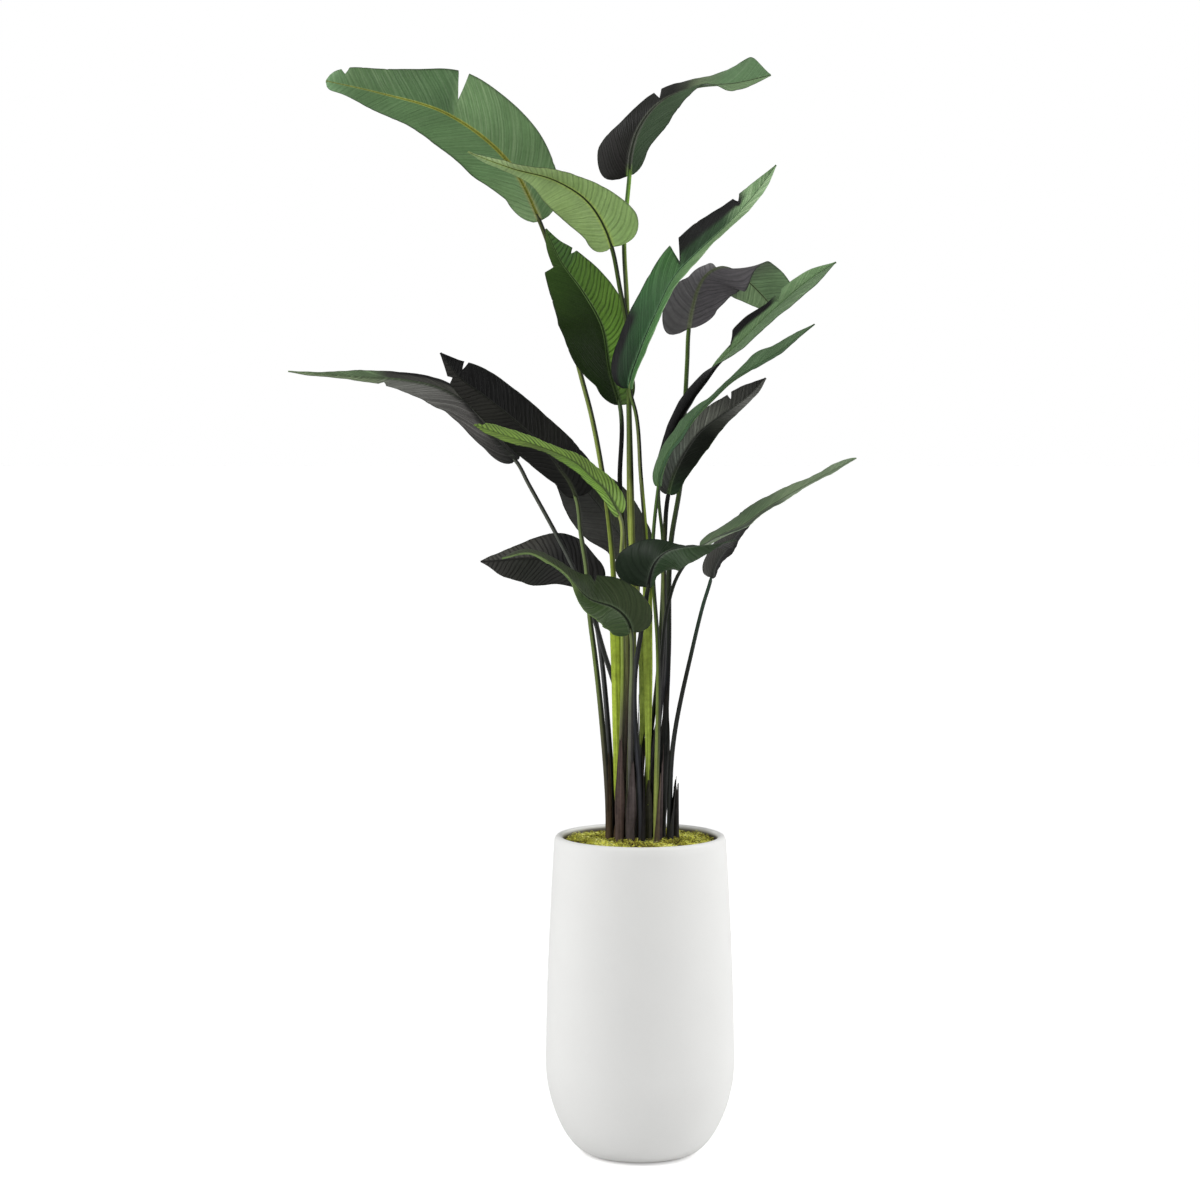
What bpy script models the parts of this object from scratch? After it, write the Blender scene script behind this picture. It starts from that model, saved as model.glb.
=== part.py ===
"""Potted travelers palm: a planter filled with soil and moss, and eighteen torn, paddle-shaped fronds.

Metres, +Z up. The origin is the centre of the planter's flat base, on the floor. The fan of fronds lies
mostly in the XZ plane, and -Y is the side that faces the viewer.
"""
import math

import bmesh
import bpy
import numpy as np

# Driving dimensions of the planter
POT_HEIGHT = 0.627
POT_BASE_RADIUS = 0.097
POT_BELLY_RADIUS = 0.1855
POT_BELLY_HEIGHT = 0.173
POT_RIM_RADIUS = 0.1675
POT_WALL = 0.0165
POT_FLOOR = 0.030
POT_SEGMENTS = 40
FLOOR_CORNER = 0.022
INNER_ROWS = (0.055, 0.120, 0.250, 0.430, 0.596, 0.612)
OUTER_ROWS = (0.600, 0.510, 0.410, 0.310, 0.230, 0.165, 0.110, 0.070, 0.042, 0.022, 0.008, 0.002)
BOWL_RISE = 1.7
BOWL_ROUNDNESS = 1.8
SHOULDER_ROUNDNESS = 1.6
RIM_STEPS = 6

# Soil and moss
GAP = 0.0003
SOIL_TOP = 0.596
SOIL_WALL_CLEARANCE = 0.0006
MOSS_EDGE_HEIGHT = 0.612
MOSS_DOME = 0.008
MOSS_RELIEF = 0.0022
MOSS_RINGS = 4
MOSS_SEED = 11
MOSS_WALL_CLEARANCE = 0.0010

# Stems: sizes shared by every frond
STEM_FOOT_Z = 0.520
STEM_STRAIGHT_Z = 0.600
STEM_LEAVES_SOIL_Z = 0.660
STEM_WIDTH_FOOT = 0.0130
STEM_WIDTH_TOP = 0.0086
STEM_DEPTH_SHARE = 0.82
STEM_GROOVE = 0.30
STEM_STATION_SPACING = 0.50
STEM_STATION_TURN = math.radians(8)
HOLE_CLEARANCE = 0.0010
HOLE_SIDES = 10
HOLE_TOP = 0.75
STUB_SIDES = 12
STUB_TOP_SHARE = 0.4
STUB_CUT_SLOPE = 0.9

# Blades: sizes shared by every frond
BLADE_THICKNESS = 0.0010
RIB_HALF_WIDTH_TIP = 0.0011
RIB_DEPTH_SHARE = 1.5
BLADE_STATIONS = (0.02, 0.06, 0.12, 0.20, 0.29, 0.38, 0.48, 0.58, 0.68, 0.78, 0.87, 0.945, 1.0)
OUTLINE_SHARES = (0.10, 0.22, 0.35, 0.50, 0.65, 0.80, 0.92, 1.0)
ROUND_BASE = 0.10
TEAR_HALF_WIDTH = 0.016
VEIN_SLANT = 0.32
LOBE_DROP = 1.4
LOBE_SHARE = 0.09
SLANT_FADE = 0.15
TIP_HALF_WIDTH = 0.0012
MARGIN_WAVE = 0.0025
WAVES_PER_BLADE = 3.2
WAVE_START = {"left": 2.6, "right": 0.9}
MIDDLE_COLUMN = 0.52
RIB_TAPER = 1.2
RIB_CHANNEL_SHARE = 0.35
LEAST_HALF_WIDTH = 0.0008
STEM_RING_ANGLES = (168, 142, 114, 90, 66, 38, 12)
STEM_RING_GROOVE = (0, 0.3, 0.8, 1.0, 0.8, 0.3, 0)
TANGENT_STEP = 0.004
VIEWER_SIDE = (0.0, -1.0, 0.0)

# Each frond, as it grows: foot (x, y) of the stem in the soil, points that the stem passes,
# rib rows (x, y, z, roll, fold) from the base of the blade to its tip, half widths of the left and the right
# half at OUTLINE_SHARES, how far each base lobe hangs back (lobes, 1 where not given), and tears (side, place
# along the rib, depth as a share of the half width).
# Roll turns the blade about its rib from facing the viewer. Fold lifts each half from flat.
FRONDS = {
    "frond_top_left": dict(
        foot=(-0.043, -0.014),
        stem=[(-0.048, -0.006, 0.990), (-0.057, 0.025, 1.200), (-0.075, 0.035, 1.340),
              (-0.0975, 0.050, 1.455), (-0.115, 0.065, 1.520), (-0.138, 0.070, 1.610),
              (-0.170, 0.060, 1.750)],
        rib=[(-0.195, 0.050, 1.820, -10, 8), (-0.255, 0.040, 1.934, -15, 10), (-0.367, 0.040, 2.024, -20, 10),
             (-0.513, 0.050, 2.071, -15, 8), (-0.611, 0.060, 2.094, -5, 5)],
        left=(.045, .078, .078, .072, .053, .036, .020), right=(.069, .082, .088, .090, .064, .046, .034),
        lobes=(0.2, 0.4), tears=[("right", 0.505, 0.62), ("right", 0.93, 0.35)]),
    "frond_top_middle": dict(
        foot=(-0.023, -0.020),
        stem=[(-0.014, -0.035, 0.990), (-0.016, -0.040, 1.200), (-0.0225, -0.040, 1.460),
              (-0.027, -0.040, 1.620), (-0.040, -0.045, 1.686)],
        rib=[(-0.056, -0.060, 1.765, -15, 12), (-0.069, -0.080, 1.800, -10, 14),
             (-0.103, -0.110, 1.850, 5, 20), (-0.161, -0.140, 1.886, 25, 28),
             (-0.245, -0.165, 1.908, 45, 20), (-0.325, -0.170, 1.937, 60, 10)],
        left=(.046, .060, .058, .044, .018, .010, .008), right=(.066, .050, .038, .030, .024, .016, .008),
        tears=[]),
    "frond_top_right": dict(
        foot=(-0.004, -0.021),
        stem=[(0.005, -0.014, 0.990), (-0.018, -0.018, 1.203), (-0.023, -0.018, 1.460),
              (-0.027, -0.010, 1.668), (-0.032, -0.005, 1.783)],
        rib=[(-0.022, 0.000, 1.905, 20, 15), (-0.019, 0.000, 1.944, 24, 15), (-0.004, 0.000, 1.995, 26, 12),
             (0.030, 0.000, 2.040, 45, 10), (0.098, 0.000, 2.074, 76, 8), (0.185, 0.000, 2.083, 46, 10),
             (0.250, 0.000, 2.098, 35, 15)],
        left=(.066, .037, .029, .035, .046, .048, .052), right=(.038, .054, .062, .061, .064, .028, .014),
        lobes=(1.7, 0.2), tears=[("left", 0.42, 0.70)]),
    "frond_centre_left": dict(
        foot=(-0.032, 0.004),
        stem=[(-0.024, 0.000, 0.990), (-0.032, -0.005, 1.203), (-0.040, -0.010, 1.311)],
        rib=[(-0.040, -0.020, 1.464, -2, 22), (-0.059, -0.010, 1.533, -2, 22), (-0.075, 0.000, 1.620, 0, 22),
             (-0.111, 0.000, 1.684, 0, 20), (-0.154, 0.000, 1.743, 0, 18), (-0.183, 0.000, 1.805, 0, 12)],
        left=(.037, .076, .089, .077, .060, .038, .024), right=(.043, .055, .056, .058, .051, .036, .014),
        lobes=(0.3, 1.0), tears=[("left", 0.80, 0.55), ("right", 0.80, 0.40)]),
    "frond_centre_right": dict(
        foot=(0.014, -0.025),
        stem=[(0.014, -0.045, 0.990), (0.010, -0.055, 1.205), (-0.0005, -0.065, 1.332),
              (-0.010, -0.075, 1.450)],
        rib=[(-0.021, -0.085, 1.496, 55, 20), (-0.001, -0.100, 1.570, 58, 20), (0.024, -0.115, 1.630, 60, 20),
             (0.065, -0.130, 1.711, 60, 18), (0.109, -0.150, 1.756, 58, 18), (0.159, -0.170, 1.802, 55, 18),
             (0.201, -0.180, 1.847, 50, 18), (0.249, -0.190, 1.911, 45, 15)],
        left=(.060, .060, .057, .060, .050, .030, .014), right=(.036, .048, .062, .056, .034, .028, .022),
        tears=[("left", 0.49, 0.80), ("left", 0.80, 0.40)]),
    "frond_upper_right": dict(
        foot=(0.043, 0.000), face=(-1, 0, 0),
        stem=[(0.055, 0.018, 0.990), (0.061, 0.055, 1.200), (0.080, 0.095, 1.310), (0.090, 0.120, 1.476),
              (0.094, 0.124, 1.554)],
        rib=[(0.097, 0.126, 1.615, 90, 5), (0.106, 0.129, 1.664, 90, 5), (0.115, 0.133, 1.694, 90, 5),
             (0.130, 0.141, 1.720, 90, 5), (0.156, 0.155, 1.736, 90, 5), (0.190, 0.178, 1.732, 90, 5),
             (0.221, 0.196, 1.709, 90, 5), (0.254, 0.210, 1.677, 90, 5), (0.278, 0.216, 1.648, 90, 5)],
        left=(.044, .060, .062, .064, .062, .062, .048), right=(.080, .078, .070, .064, .048, .032, .016),
        lobes=(0.0, 2.2), tears=[("left", 0.86, 0.35)]),
    "frond_long_right": dict(
        foot=(0.008, 0.013),
        stem=[(0.038, 0.030, 0.990), (0.044, 0.050, 1.200)],
        rib=[(0.037, 0.060, 1.311, 100, 5), (0.054, 0.060, 1.384, 104, 5), (0.073, 0.058, 1.433, 106, 5),
             (0.102, 0.055, 1.480, 105, 6), (0.127, 0.052, 1.513, 96, 8), (0.148, 0.050, 1.542, 80, 8),
             (0.185, 0.045, 1.579, 68, 10), (0.254, 0.030, 1.646, 64, 10), (0.331, 0.010, 1.711, 62, 12),
             (0.377, 0.000, 1.741, 62, 12)],
        left=(.052, .054, .052, .050, .034, .034, .020), right=(.044, .050, .046, .056, .056, .054, .046),
        tears=[("left", 0.50, 0.50), ("left", 0.76, 0.60)]),
    "frond_narrow_right": dict(
        foot=(0.030, -0.042),
        stem=[(0.033, -0.055, 0.990), (0.023, -0.062, 1.205)],
        rib=[(0.033, -0.070, 1.309, 72, 8), (0.036, -0.072, 1.332, 74, 8), (0.051, -0.078, 1.373, 76, 8),
             (0.074, -0.084, 1.405, 76, 8), (0.104, -0.090, 1.447, 80, 8), (0.135, -0.094, 1.478, 86, 6),
             (0.169, -0.098, 1.510, 88, 6), (0.210, -0.104, 1.536, 72, 10), (0.262, -0.112, 1.568, 74, 10),
             (0.327, -0.120, 1.619, 78, 10)],
        left=(.038, .042, .034, .032, .046, .032, .018), right=(.028, .036, .038, .038, .034, .026, .016),
        tears=[]),
    "frond_dark_right": dict(
        foot=(0.022, -0.004),
        stem=[(0.046, -0.006, 0.990), (0.047, 0.000, 1.203)],
        rib=[(0.054, 0.000, 1.292, 180, 38), (0.061, 0.000, 1.321, 180, 38), (0.077, 0.000, 1.358, 180, 38),
             (0.094, -0.003, 1.387, 180, 38), (0.115, -0.006, 1.414, 180, 36),
             (0.144, -0.008, 1.437, 180, 32), (0.182, -0.010, 1.464, 180, 28),
             (0.215, -0.010, 1.489, 180, 22), (0.242, -0.010, 1.518, 180, 15)],
        left=(.030, .042, .044, .033, .020, .012, .008), right=(.034, .046, .044, .036, .032, .026, .014),
        tears=[("right", 0.72, 0.45)]),
    "frond_low_right_dark": dict(
        foot=(0.057, -0.018),
        stem=[(0.062, -0.014, 0.790), (0.101, 0.004, 0.990), (0.124, 0.026, 1.080)],
        rib=[(0.139, 0.040, 1.128, 120, 0), (0.142, 0.044, 1.145, 118, 0), (0.151, 0.052, 1.164, 116, 0),
             (0.167, 0.064, 1.185, 116, 0), (0.187, 0.078, 1.210, 114, 2), (0.212, 0.090, 1.239, 112, 4),
             (0.242, 0.100, 1.271, 112, 4)],
        left=(.022, .034, .044, .046, .042, .032, .018), right=(.046, .056, .056, .052, .046, .034, .018),
        tears=[]),
    "frond_low_right_green": dict(
        foot=(0.036, -0.022),
        stem=[(0.041, -0.030, 0.983), (0.053, -0.026, 1.080), (0.072, -0.022, 1.137)],
        rib=[(0.117, -0.020, 1.192, 80, 8), (0.152, -0.020, 1.213, 80, 8), (0.202, -0.016, 1.236, 76, 8),
             (0.237, -0.010, 1.261, 74, 8), (0.294, 0.000, 1.295, 76, 8), (0.357, 0.012, 1.329, 78, 8),
             (0.421, 0.030, 1.363, 78, 8)],
        left=(.040, .050, .052, .048, .044, .040, .030), right=(.040, .048, .050, .044, .038, .032, .022),
        tears=[]),
    "frond_front_right": dict(
        foot=(0.002, -0.042),
        stem=[(-0.009, -0.068, 0.970), (-0.002, -0.084, 1.017), (0.007, -0.104, 1.080)],
        rib=[(0.013, -0.118, 1.119, 8, -2), (0.017, -0.126, 1.142, 12, -6),
             (0.022, -0.136, 1.160, 24, -16), (0.033, -0.150, 1.178, 42, -28),
             (0.050, -0.168, 1.192, 54, -32), (0.072, -0.188, 1.199, 62, -30),
             (0.103, -0.208, 1.203, 74, -22), (0.138, -0.222, 1.208, 98, -16),
             (0.175, -0.232, 1.216, 112, -10)],
        left=(.074, .050, .030, .024, .024, .034, .028), right=(.012, .036, .044, .042, .040, .032, .020),
        tears=[]),
    "frond_front_left": dict(
        foot=(-0.019, -0.042),
        stem=[(-0.019, -0.068, 0.889), (-0.017, -0.096, 0.980)],
        rib=[(-0.019, -0.115, 1.032, -15, 10), (-0.023, -0.125, 1.050, -15, 10),
             (-0.035, -0.138, 1.069, -18, 10), (-0.056, -0.152, 1.085, -24, 10),
             (-0.078, -0.165, 1.093, -36, 10), (-0.096, -0.174, 1.100, -48, 10),
             (-0.111, -0.181, 1.112, -60, 10), (-0.127, -0.187, 1.131, -74, 10),
             (-0.146, -0.190, 1.152, -80, 8), (-0.171, -0.190, 1.170, -80, 8),
             (-0.208, -0.188, 1.188, -80, 8), (-0.263, -0.180, 1.179, -80, 8)],
        left=(.042, .048, .042, .032, .028, .024, .018), right=(.052, .054, .050, .038, .030, .026, .018),
        tears=[("right", 0.33, 0.25)]),
    "frond_light_left": dict(
        foot=(-0.040, -0.036),
        stem=[(-0.034, -0.062, 0.990), (-0.038, -0.072, 1.160)],
        rib=[(-0.042, -0.098, 1.257, -50, 18), (-0.052, -0.104, 1.276, -54, 16),
             (-0.070, -0.110, 1.305, -58, 14), (-0.094, -0.117, 1.328, -62, 12),
             (-0.122, -0.123, 1.354, -66, 10), (-0.162, -0.130, 1.375, -68, 10),
             (-0.207, -0.138, 1.392, -68, 10), (-0.258, -0.148, 1.408, -66, 10),
             (-0.316, -0.158, 1.429, -62, 10)],
        left=(.032, .044, .046, .036, .032, .036, .026), right=(.032, .034, .028, .024, .024, .028, .018),
        tears=[("right", 0.95, 0.4)]),
    "frond_dark_left": dict(
        foot=(-0.062, -0.012),
        stem=[(-0.075, -0.004, 0.853), (-0.090, 0.014, 0.988), (-0.098, 0.024, 1.048),
              (-0.106, 0.040, 1.153), (-0.116, 0.055, 1.213)],
        rib=[(-0.126, 0.072, 1.285, 180, 30), (-0.138, 0.074, 1.313, 180, 30),
             (-0.157, 0.076, 1.340, 180, 30), (-0.179, 0.078, 1.370, 180, 30),
             (-0.248, 0.080, 1.438, 180, 30), (-0.303, 0.080, 1.482, 180, 28),
             (-0.355, 0.080, 1.521, 180, 25), (-0.392, 0.080, 1.568, 180, 20)],
        left=(.064, .060, .054, .054, .052, .042, .020), right=(.030, .048, .056, .050, .042, .028, .012),
        tears=[("left", 0.85, 0.55), ("right", 0.86, 0.45)]),
    "frond_far_left": dict(
        foot=(-0.022, 0.025),
        stem=[(-0.045, 0.030, 0.900), (-0.071, 0.040, 0.983), (-0.088, 0.048, 1.041),
              (-0.138, 0.066, 1.161), (-0.165, 0.080, 1.212), (-0.221, 0.108, 1.312)],
        rib=[(-0.245, 0.120, 1.355, 130, 10), (-0.275, 0.122, 1.383, 128, 10),
             (-0.303, 0.124, 1.414, 126, 10), (-0.328, 0.125, 1.446, 124, 10),
             (-0.354, 0.126, 1.474, 122, 10), (-0.395, 0.127, 1.497, 120, 10),
             (-0.461, 0.128, 1.513, 120, 10), (-0.554, 0.130, 1.520, 118, 8),
             (-0.697, 0.135, 1.532, 110, 5)],
        left=(.050, .052, .046, .050, .046, .026, .012), right=(.034, .048, .054, .038, .014, .010, .008),
        tears=[("right", 0.62, 0.5)]),
    "frond_behind_stems": dict(
        foot=(-0.011, 0.001),
        stem=[(-0.014, 0.050, 0.984)],
        rib=[(-0.015, 0.110, 1.167, 180, 15), (-0.049, 0.125, 1.222, 180, 18),
             (-0.094, 0.135, 1.282, 180, 20), (-0.146, 0.142, 1.337, 180, 20),
             (-0.198, 0.148, 1.383, 180, 15)],
        left=(.060, .066, .065, .054, .046, .030, .014), right=(.041, .062, .068, .060, .044, .026, .014),
        tears=[]),
    "frond_low_left_dark": dict(
        foot=(-0.054, 0.007),
        stem=[(-0.064, 0.030, 0.851), (-0.078, 0.062, 0.987), (-0.087, 0.080, 1.043)],
        rib=[(-0.098, 0.094, 1.099, 180, 10), (-0.138, 0.114, 1.135, 180, 14),
             (-0.174, 0.132, 1.153, 180, 16), (-0.208, 0.146, 1.160, 180, 18),
             (-0.248, 0.157, 1.159, 180, 18), (-0.284, 0.163, 1.155, 180, 16),
             (-0.318, 0.168, 1.153, 180, 12)],
        left=(.054, .066, .064, .048, .030, .018, .010), right=(.020, .034, .052, .058, .050, .034, .014),
        tears=[]),
}

# Cut sheath stubs among the feet of the stems: place (x, y), height of the cut above the floor, width
STUBS = {
    "sheath_stub_right": dict(foot=(0.070, -0.001), top=0.728, width=0.013),
    "sheath_stub_left": dict(foot=(-0.040, 0.026), top=0.700, width=0.014),
}

# Materials: colour, roughness, metallic
FINISHES = {
    "pot_white": ((0.80, 0.80, 0.79), 0.62, 0.0),
    "soil_brown": ((0.045, 0.030, 0.018), 0.95, 0.0),
    "moss_green": ((0.26, 0.27, 0.06), 0.95, 0.0),
    "leaf_green": ((0.085, 0.200, 0.075), 0.45, 0.0),
    "leaf_light": ((0.190, 0.400, 0.085), 0.45, 0.0),
    "leaf_dark": ((0.030, 0.032, 0.030), 0.50, 0.0),
    "sheath_brown": ((0.070, 0.055, 0.045), 0.70, 0.0),
}
LIGHT_FRONDS = ("frond_top_middle", "frond_light_left")
DARK_FRONDS = ("frond_upper_right", "frond_dark_right", "frond_low_right_dark", "frond_dark_left",
               "frond_far_left", "frond_behind_stems", "frond_low_left_dark")


def clear_scene():
    """Remove every object of the startup scene."""
    for item in list(bpy.data.objects):
        bpy.data.objects.remove(item, do_unlink=True)


def make_collection(name):
    """Make a collection in the scene."""
    group = bpy.data.collections.new(name)
    bpy.context.scene.collection.children.link(group)
    return group


def make_material(name):
    """Make a Principled material from its finish."""
    colour, roughness, metallic = FINISHES[name]
    material = bpy.data.materials.new(name)
    material.use_nodes = True
    shader = material.node_tree.nodes["Principled BSDF"]
    shader.inputs["Base Color"].default_value = (*colour, 1.0)
    shader.inputs["Roughness"].default_value = roughness
    shader.inputs["Metallic"].default_value = metallic
    return material


def link_mesh(name, mesh, material, group):
    """Put a smooth-shaded mesh in the collection as an object."""
    mesh.shade_smooth()
    mesh.materials.append(material)
    item = bpy.data.objects.new(name, mesh)
    group.objects.link(item)
    return item


def make_object(name, vertices, faces, material, group):
    """Make a mesh object from points and faces."""
    mesh = bpy.data.meshes.new(name)
    mesh.from_pydata([tuple(map(float, point)) for point in vertices], [], faces)
    mesh.update()
    return link_mesh(name, mesh, material, group)


def pot_outer_radius(height):
    """Outer radius of the planter: a rounded bowl up to the belly, then a slow curve in to the rim."""
    if height < POT_BELLY_HEIGHT:
        rise = 1.0 - (1.0 - height / POT_BELLY_HEIGHT) ** BOWL_RISE
        return POT_BASE_RADIUS + (POT_BELLY_RADIUS - POT_BASE_RADIUS) * rise ** (1 / BOWL_ROUNDNESS)
    share = (height - POT_BELLY_HEIGHT) / (POT_HEIGHT - POT_BELLY_HEIGHT)
    return POT_BELLY_RADIUS - (POT_BELLY_RADIUS - POT_RIM_RADIUS) * share ** SHOULDER_ROUNDNESS


def pot_inner_radius(height):
    """Inner radius of the planter: its wall's thickness in from the outside."""
    return pot_outer_radius(height) - POT_WALL


def floor_radius():
    """Radius of the flat floor inside the planter."""
    return pot_inner_radius(INNER_ROWS[0]) - FLOOR_CORNER


def turned(name, profile, material, group):
    """Turn a profile of (radius, height) points about the Z axis with a Screw modifier."""
    vertices = [(radius, 0.0, height) for radius, height in profile]
    edges = [(index, index + 1) for index in range(len(profile) - 1)]
    mesh = bpy.data.meshes.new(name)
    mesh.from_pydata(vertices, edges, [])
    item = bpy.data.objects.new(name, mesh)
    group.objects.link(item)
    mesh.materials.append(material)
    screw = item.modifiers.new("turn", "SCREW")
    screw.axis = "Z"
    screw.steps = POT_SEGMENTS
    screw.render_steps = POT_SEGMENTS
    screw.use_merge_vertices = True
    screw.merge_threshold = 0.00001
    screw.use_smooth_shade = True
    return item


def rim_arc():
    """The rounded rim: a half circle from the inner wall to the outer wall, as (radius, height)."""
    middle = POT_RIM_RADIUS - POT_WALL / 2
    drop = POT_WALL / 2
    angles = [math.pi * (1 - step / RIM_STEPS) for step in range(RIM_STEPS + 1)]
    return [(middle + drop * math.cos(a), POT_HEIGHT - drop + drop * math.sin(a)) for a in angles]


def make_planter(material, group):
    """The planter: one wall from the middle of the inner floor, up, over the rim and down to the base."""
    profile = [(0.0, POT_FLOOR), (floor_radius(), POT_FLOOR)]
    profile += [(pot_inner_radius(h), h) for h in INNER_ROWS]
    profile += rim_arc()
    profile += [(pot_outer_radius(h), h) for h in OUTER_ROWS]
    profile += [(POT_BASE_RADIUS - 0.002, 0.0), (0.0, 0.0)]
    return turned("planter", profile, material, group)


def spline(points, samples_per_span=24):
    """A smooth curve through points: cubic spans with chord-length tangents, sampled finely."""
    points = np.array(points, float)
    chord = np.linalg.norm(np.diff(points, axis=0)[:, :3], axis=1)
    knots = np.concatenate([[0.0], np.cumsum(chord)])
    slopes = np.empty_like(points)
    secants = np.diff(points, axis=0) / chord[:, None]
    weight = (chord[1:] / (chord[1:] + chord[:-1]))[:, None]
    slopes[1:-1] = secants[:-1] * weight + secants[1:] * (1 - weight)
    slopes[0] = secants[0]
    slopes[-1] = secants[-1]
    share = np.linspace(0, 1, samples_per_span, endpoint=False)[:, None]
    pieces = []
    for index, length in enumerate(chord):
        a, b = points[index], points[index + 1]
        ta, tb = slopes[index] * length, slopes[index + 1] * length
        pieces.append((2 * share ** 3 - 3 * share ** 2 + 1) * a + (share ** 3 - 2 * share ** 2 + share) * ta
                      + (3 * share ** 2 - 2 * share ** 3) * b + (share ** 3 - share ** 2) * tb)
    pieces.append(points[-1:])
    return np.concatenate(pieces), knots


def normalised(vectors):
    """Unit vectors along the last axis."""
    return vectors / np.linalg.norm(vectors, axis=-1, keepdims=True)


def frond_path(frond):
    """Stations along stem and rib: places, tangents, side and face directions, roll, fold, and shares."""
    x, y = frond["foot"]
    stem = [(x, y, STEM_FOOT_Z), (x, y, STEM_STRAIGHT_Z), (x, y, STEM_LEAVES_SOIL_Z)] + list(frond["stem"])
    roll, fold = frond["rib"][0][3:]
    control = [(*point, roll, fold) for point in stem] + list(frond["rib"])
    fine, knots = spline(control)
    length = np.concatenate([[0.0], np.cumsum(np.linalg.norm(np.diff(fine[:, :3], axis=0), axis=1))])
    spans = (len(fine) - 1) // (len(control) - 1)
    base = length[len(stem) * spans]
    return fine, length, base


def blade_shares(frond):
    """Places along the rib that need a station: the regular ones, and three for each tear."""
    shares = set(BLADE_STATIONS)
    for _, place, _ in frond["tears"]:
        near = [s for s in shares if abs(s - place) < TEAR_HALF_WIDTH * 1.6 and s < 1.0]
        shares -= set(near)
        shares |= {place - TEAR_HALF_WIDTH, place, min(place + TEAR_HALF_WIDTH, 0.985)}
    return np.array(sorted(shares))


def outline(frond, share, side):
    """Half width of a blade: a smooth curve through the widths drawn for it, rounded off at its base."""
    widths = np.array(frond[side] + (TIP_HALF_WIDTH,), float)
    places = np.array(OUTLINE_SHARES)
    secants = np.diff(widths) / np.diff(places)
    slopes = np.concatenate([[secants[0]], (secants[1:] + secants[:-1]) / 2, [secants[-1]]])
    span = np.clip(np.searchsorted(places, share) - 1, 0, len(places) - 2)
    step = places[span + 1] - places[span]
    t = np.clip((share - places[span]) / step, 0, 1)
    width = ((2 * t ** 3 - 3 * t ** 2 + 1) * widths[span] + (t ** 3 - 2 * t ** 2 + t) * slopes[span] * step
             + (3 * t ** 2 - 2 * t ** 3) * widths[span + 1] + (t ** 3 - t ** 2) * slopes[span + 1] * step)
    rounding = np.sqrt(1 - (1 - np.clip(share / ROUND_BASE, 0, 1)) ** 2)
    return np.maximum(width * rounding, TIP_HALF_WIDTH)


def tear_reach(frond, share, side):
    """How far out the blade reaches at each station: all the way, but for the bottoms of its tears."""
    reach = np.ones_like(share)
    for tear_side, place, depth in frond["tears"]:
        if tear_side == side:
            reach = np.where(np.abs(share - place) < TEAR_HALF_WIDTH * 0.5, 1 - depth, reach)
    return reach


def stem_stations(fine, length, base):
    """Places of the stem's rings above the foot: closer together where the stem bends more."""
    heading = normalised(np.diff(fine[:, :3], axis=0))
    bend = np.arccos(np.clip(np.sum(heading[1:] * heading[:-1], axis=1), -1, 1))
    effort = np.concatenate([[0.0], np.cumsum(np.concatenate([[0.0], bend]))]) / STEM_STATION_TURN
    effort += length / STEM_STATION_SPACING
    start = STEM_LEAVES_SOIL_Z - STEM_FOOT_Z
    first, last = np.interp([start, base], length, effort)
    count = max(3, math.ceil(last - first) + 1)
    return np.interp(np.linspace(first, last, count), effort, length)


def vein_slant(share, drop):
    """How far a margin runs ahead of the rib: behind it at the base lobe by the drop, level at the tip."""
    lobes = 1 - LOBE_DROP * drop * np.exp(-(share / LOBE_SHARE) ** 2)
    return VEIN_SLANT * lobes * np.clip((1 - share) / SLANT_FADE, 0, 1)


def frond_stations(frond):
    """Sample the path at the stem's and the blade's stations, and frame each with side and face vectors."""
    fine, length, base = frond_path(frond)
    shares = blade_shares(frond)
    stem_places = np.concatenate([[0.0], stem_stations(fine, length, base)])
    places = np.concatenate([stem_places, base + shares * (length[-1] - base)])
    data = np.stack([np.interp(places, length, fine[:, axis]) for axis in range(5)], axis=1)
    after = np.minimum(places + TANGENT_STEP, length[-1])
    before = np.maximum(places - TANGENT_STEP, 0)
    ahead = np.stack([np.interp(after, length, fine[:, axis]) for axis in range(3)], axis=1)
    behind = np.stack([np.interp(before, length, fine[:, axis]) for axis in range(3)], axis=1)
    tangent = normalised(ahead - behind)
    face = np.array(frond.get("face", VIEWER_SIDE), float)
    toward = normalised(face - (tangent @ face)[:, None] * tangent)
    side = np.cross(tangent, toward)
    share = np.concatenate([np.zeros(len(stem_places)), shares])
    along = np.concatenate([stem_places / base, np.ones(len(shares))])
    return data[:, :3], tangent, side, toward, np.radians(data[:, 3]), np.radians(data[:, 4]), share, along


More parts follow.
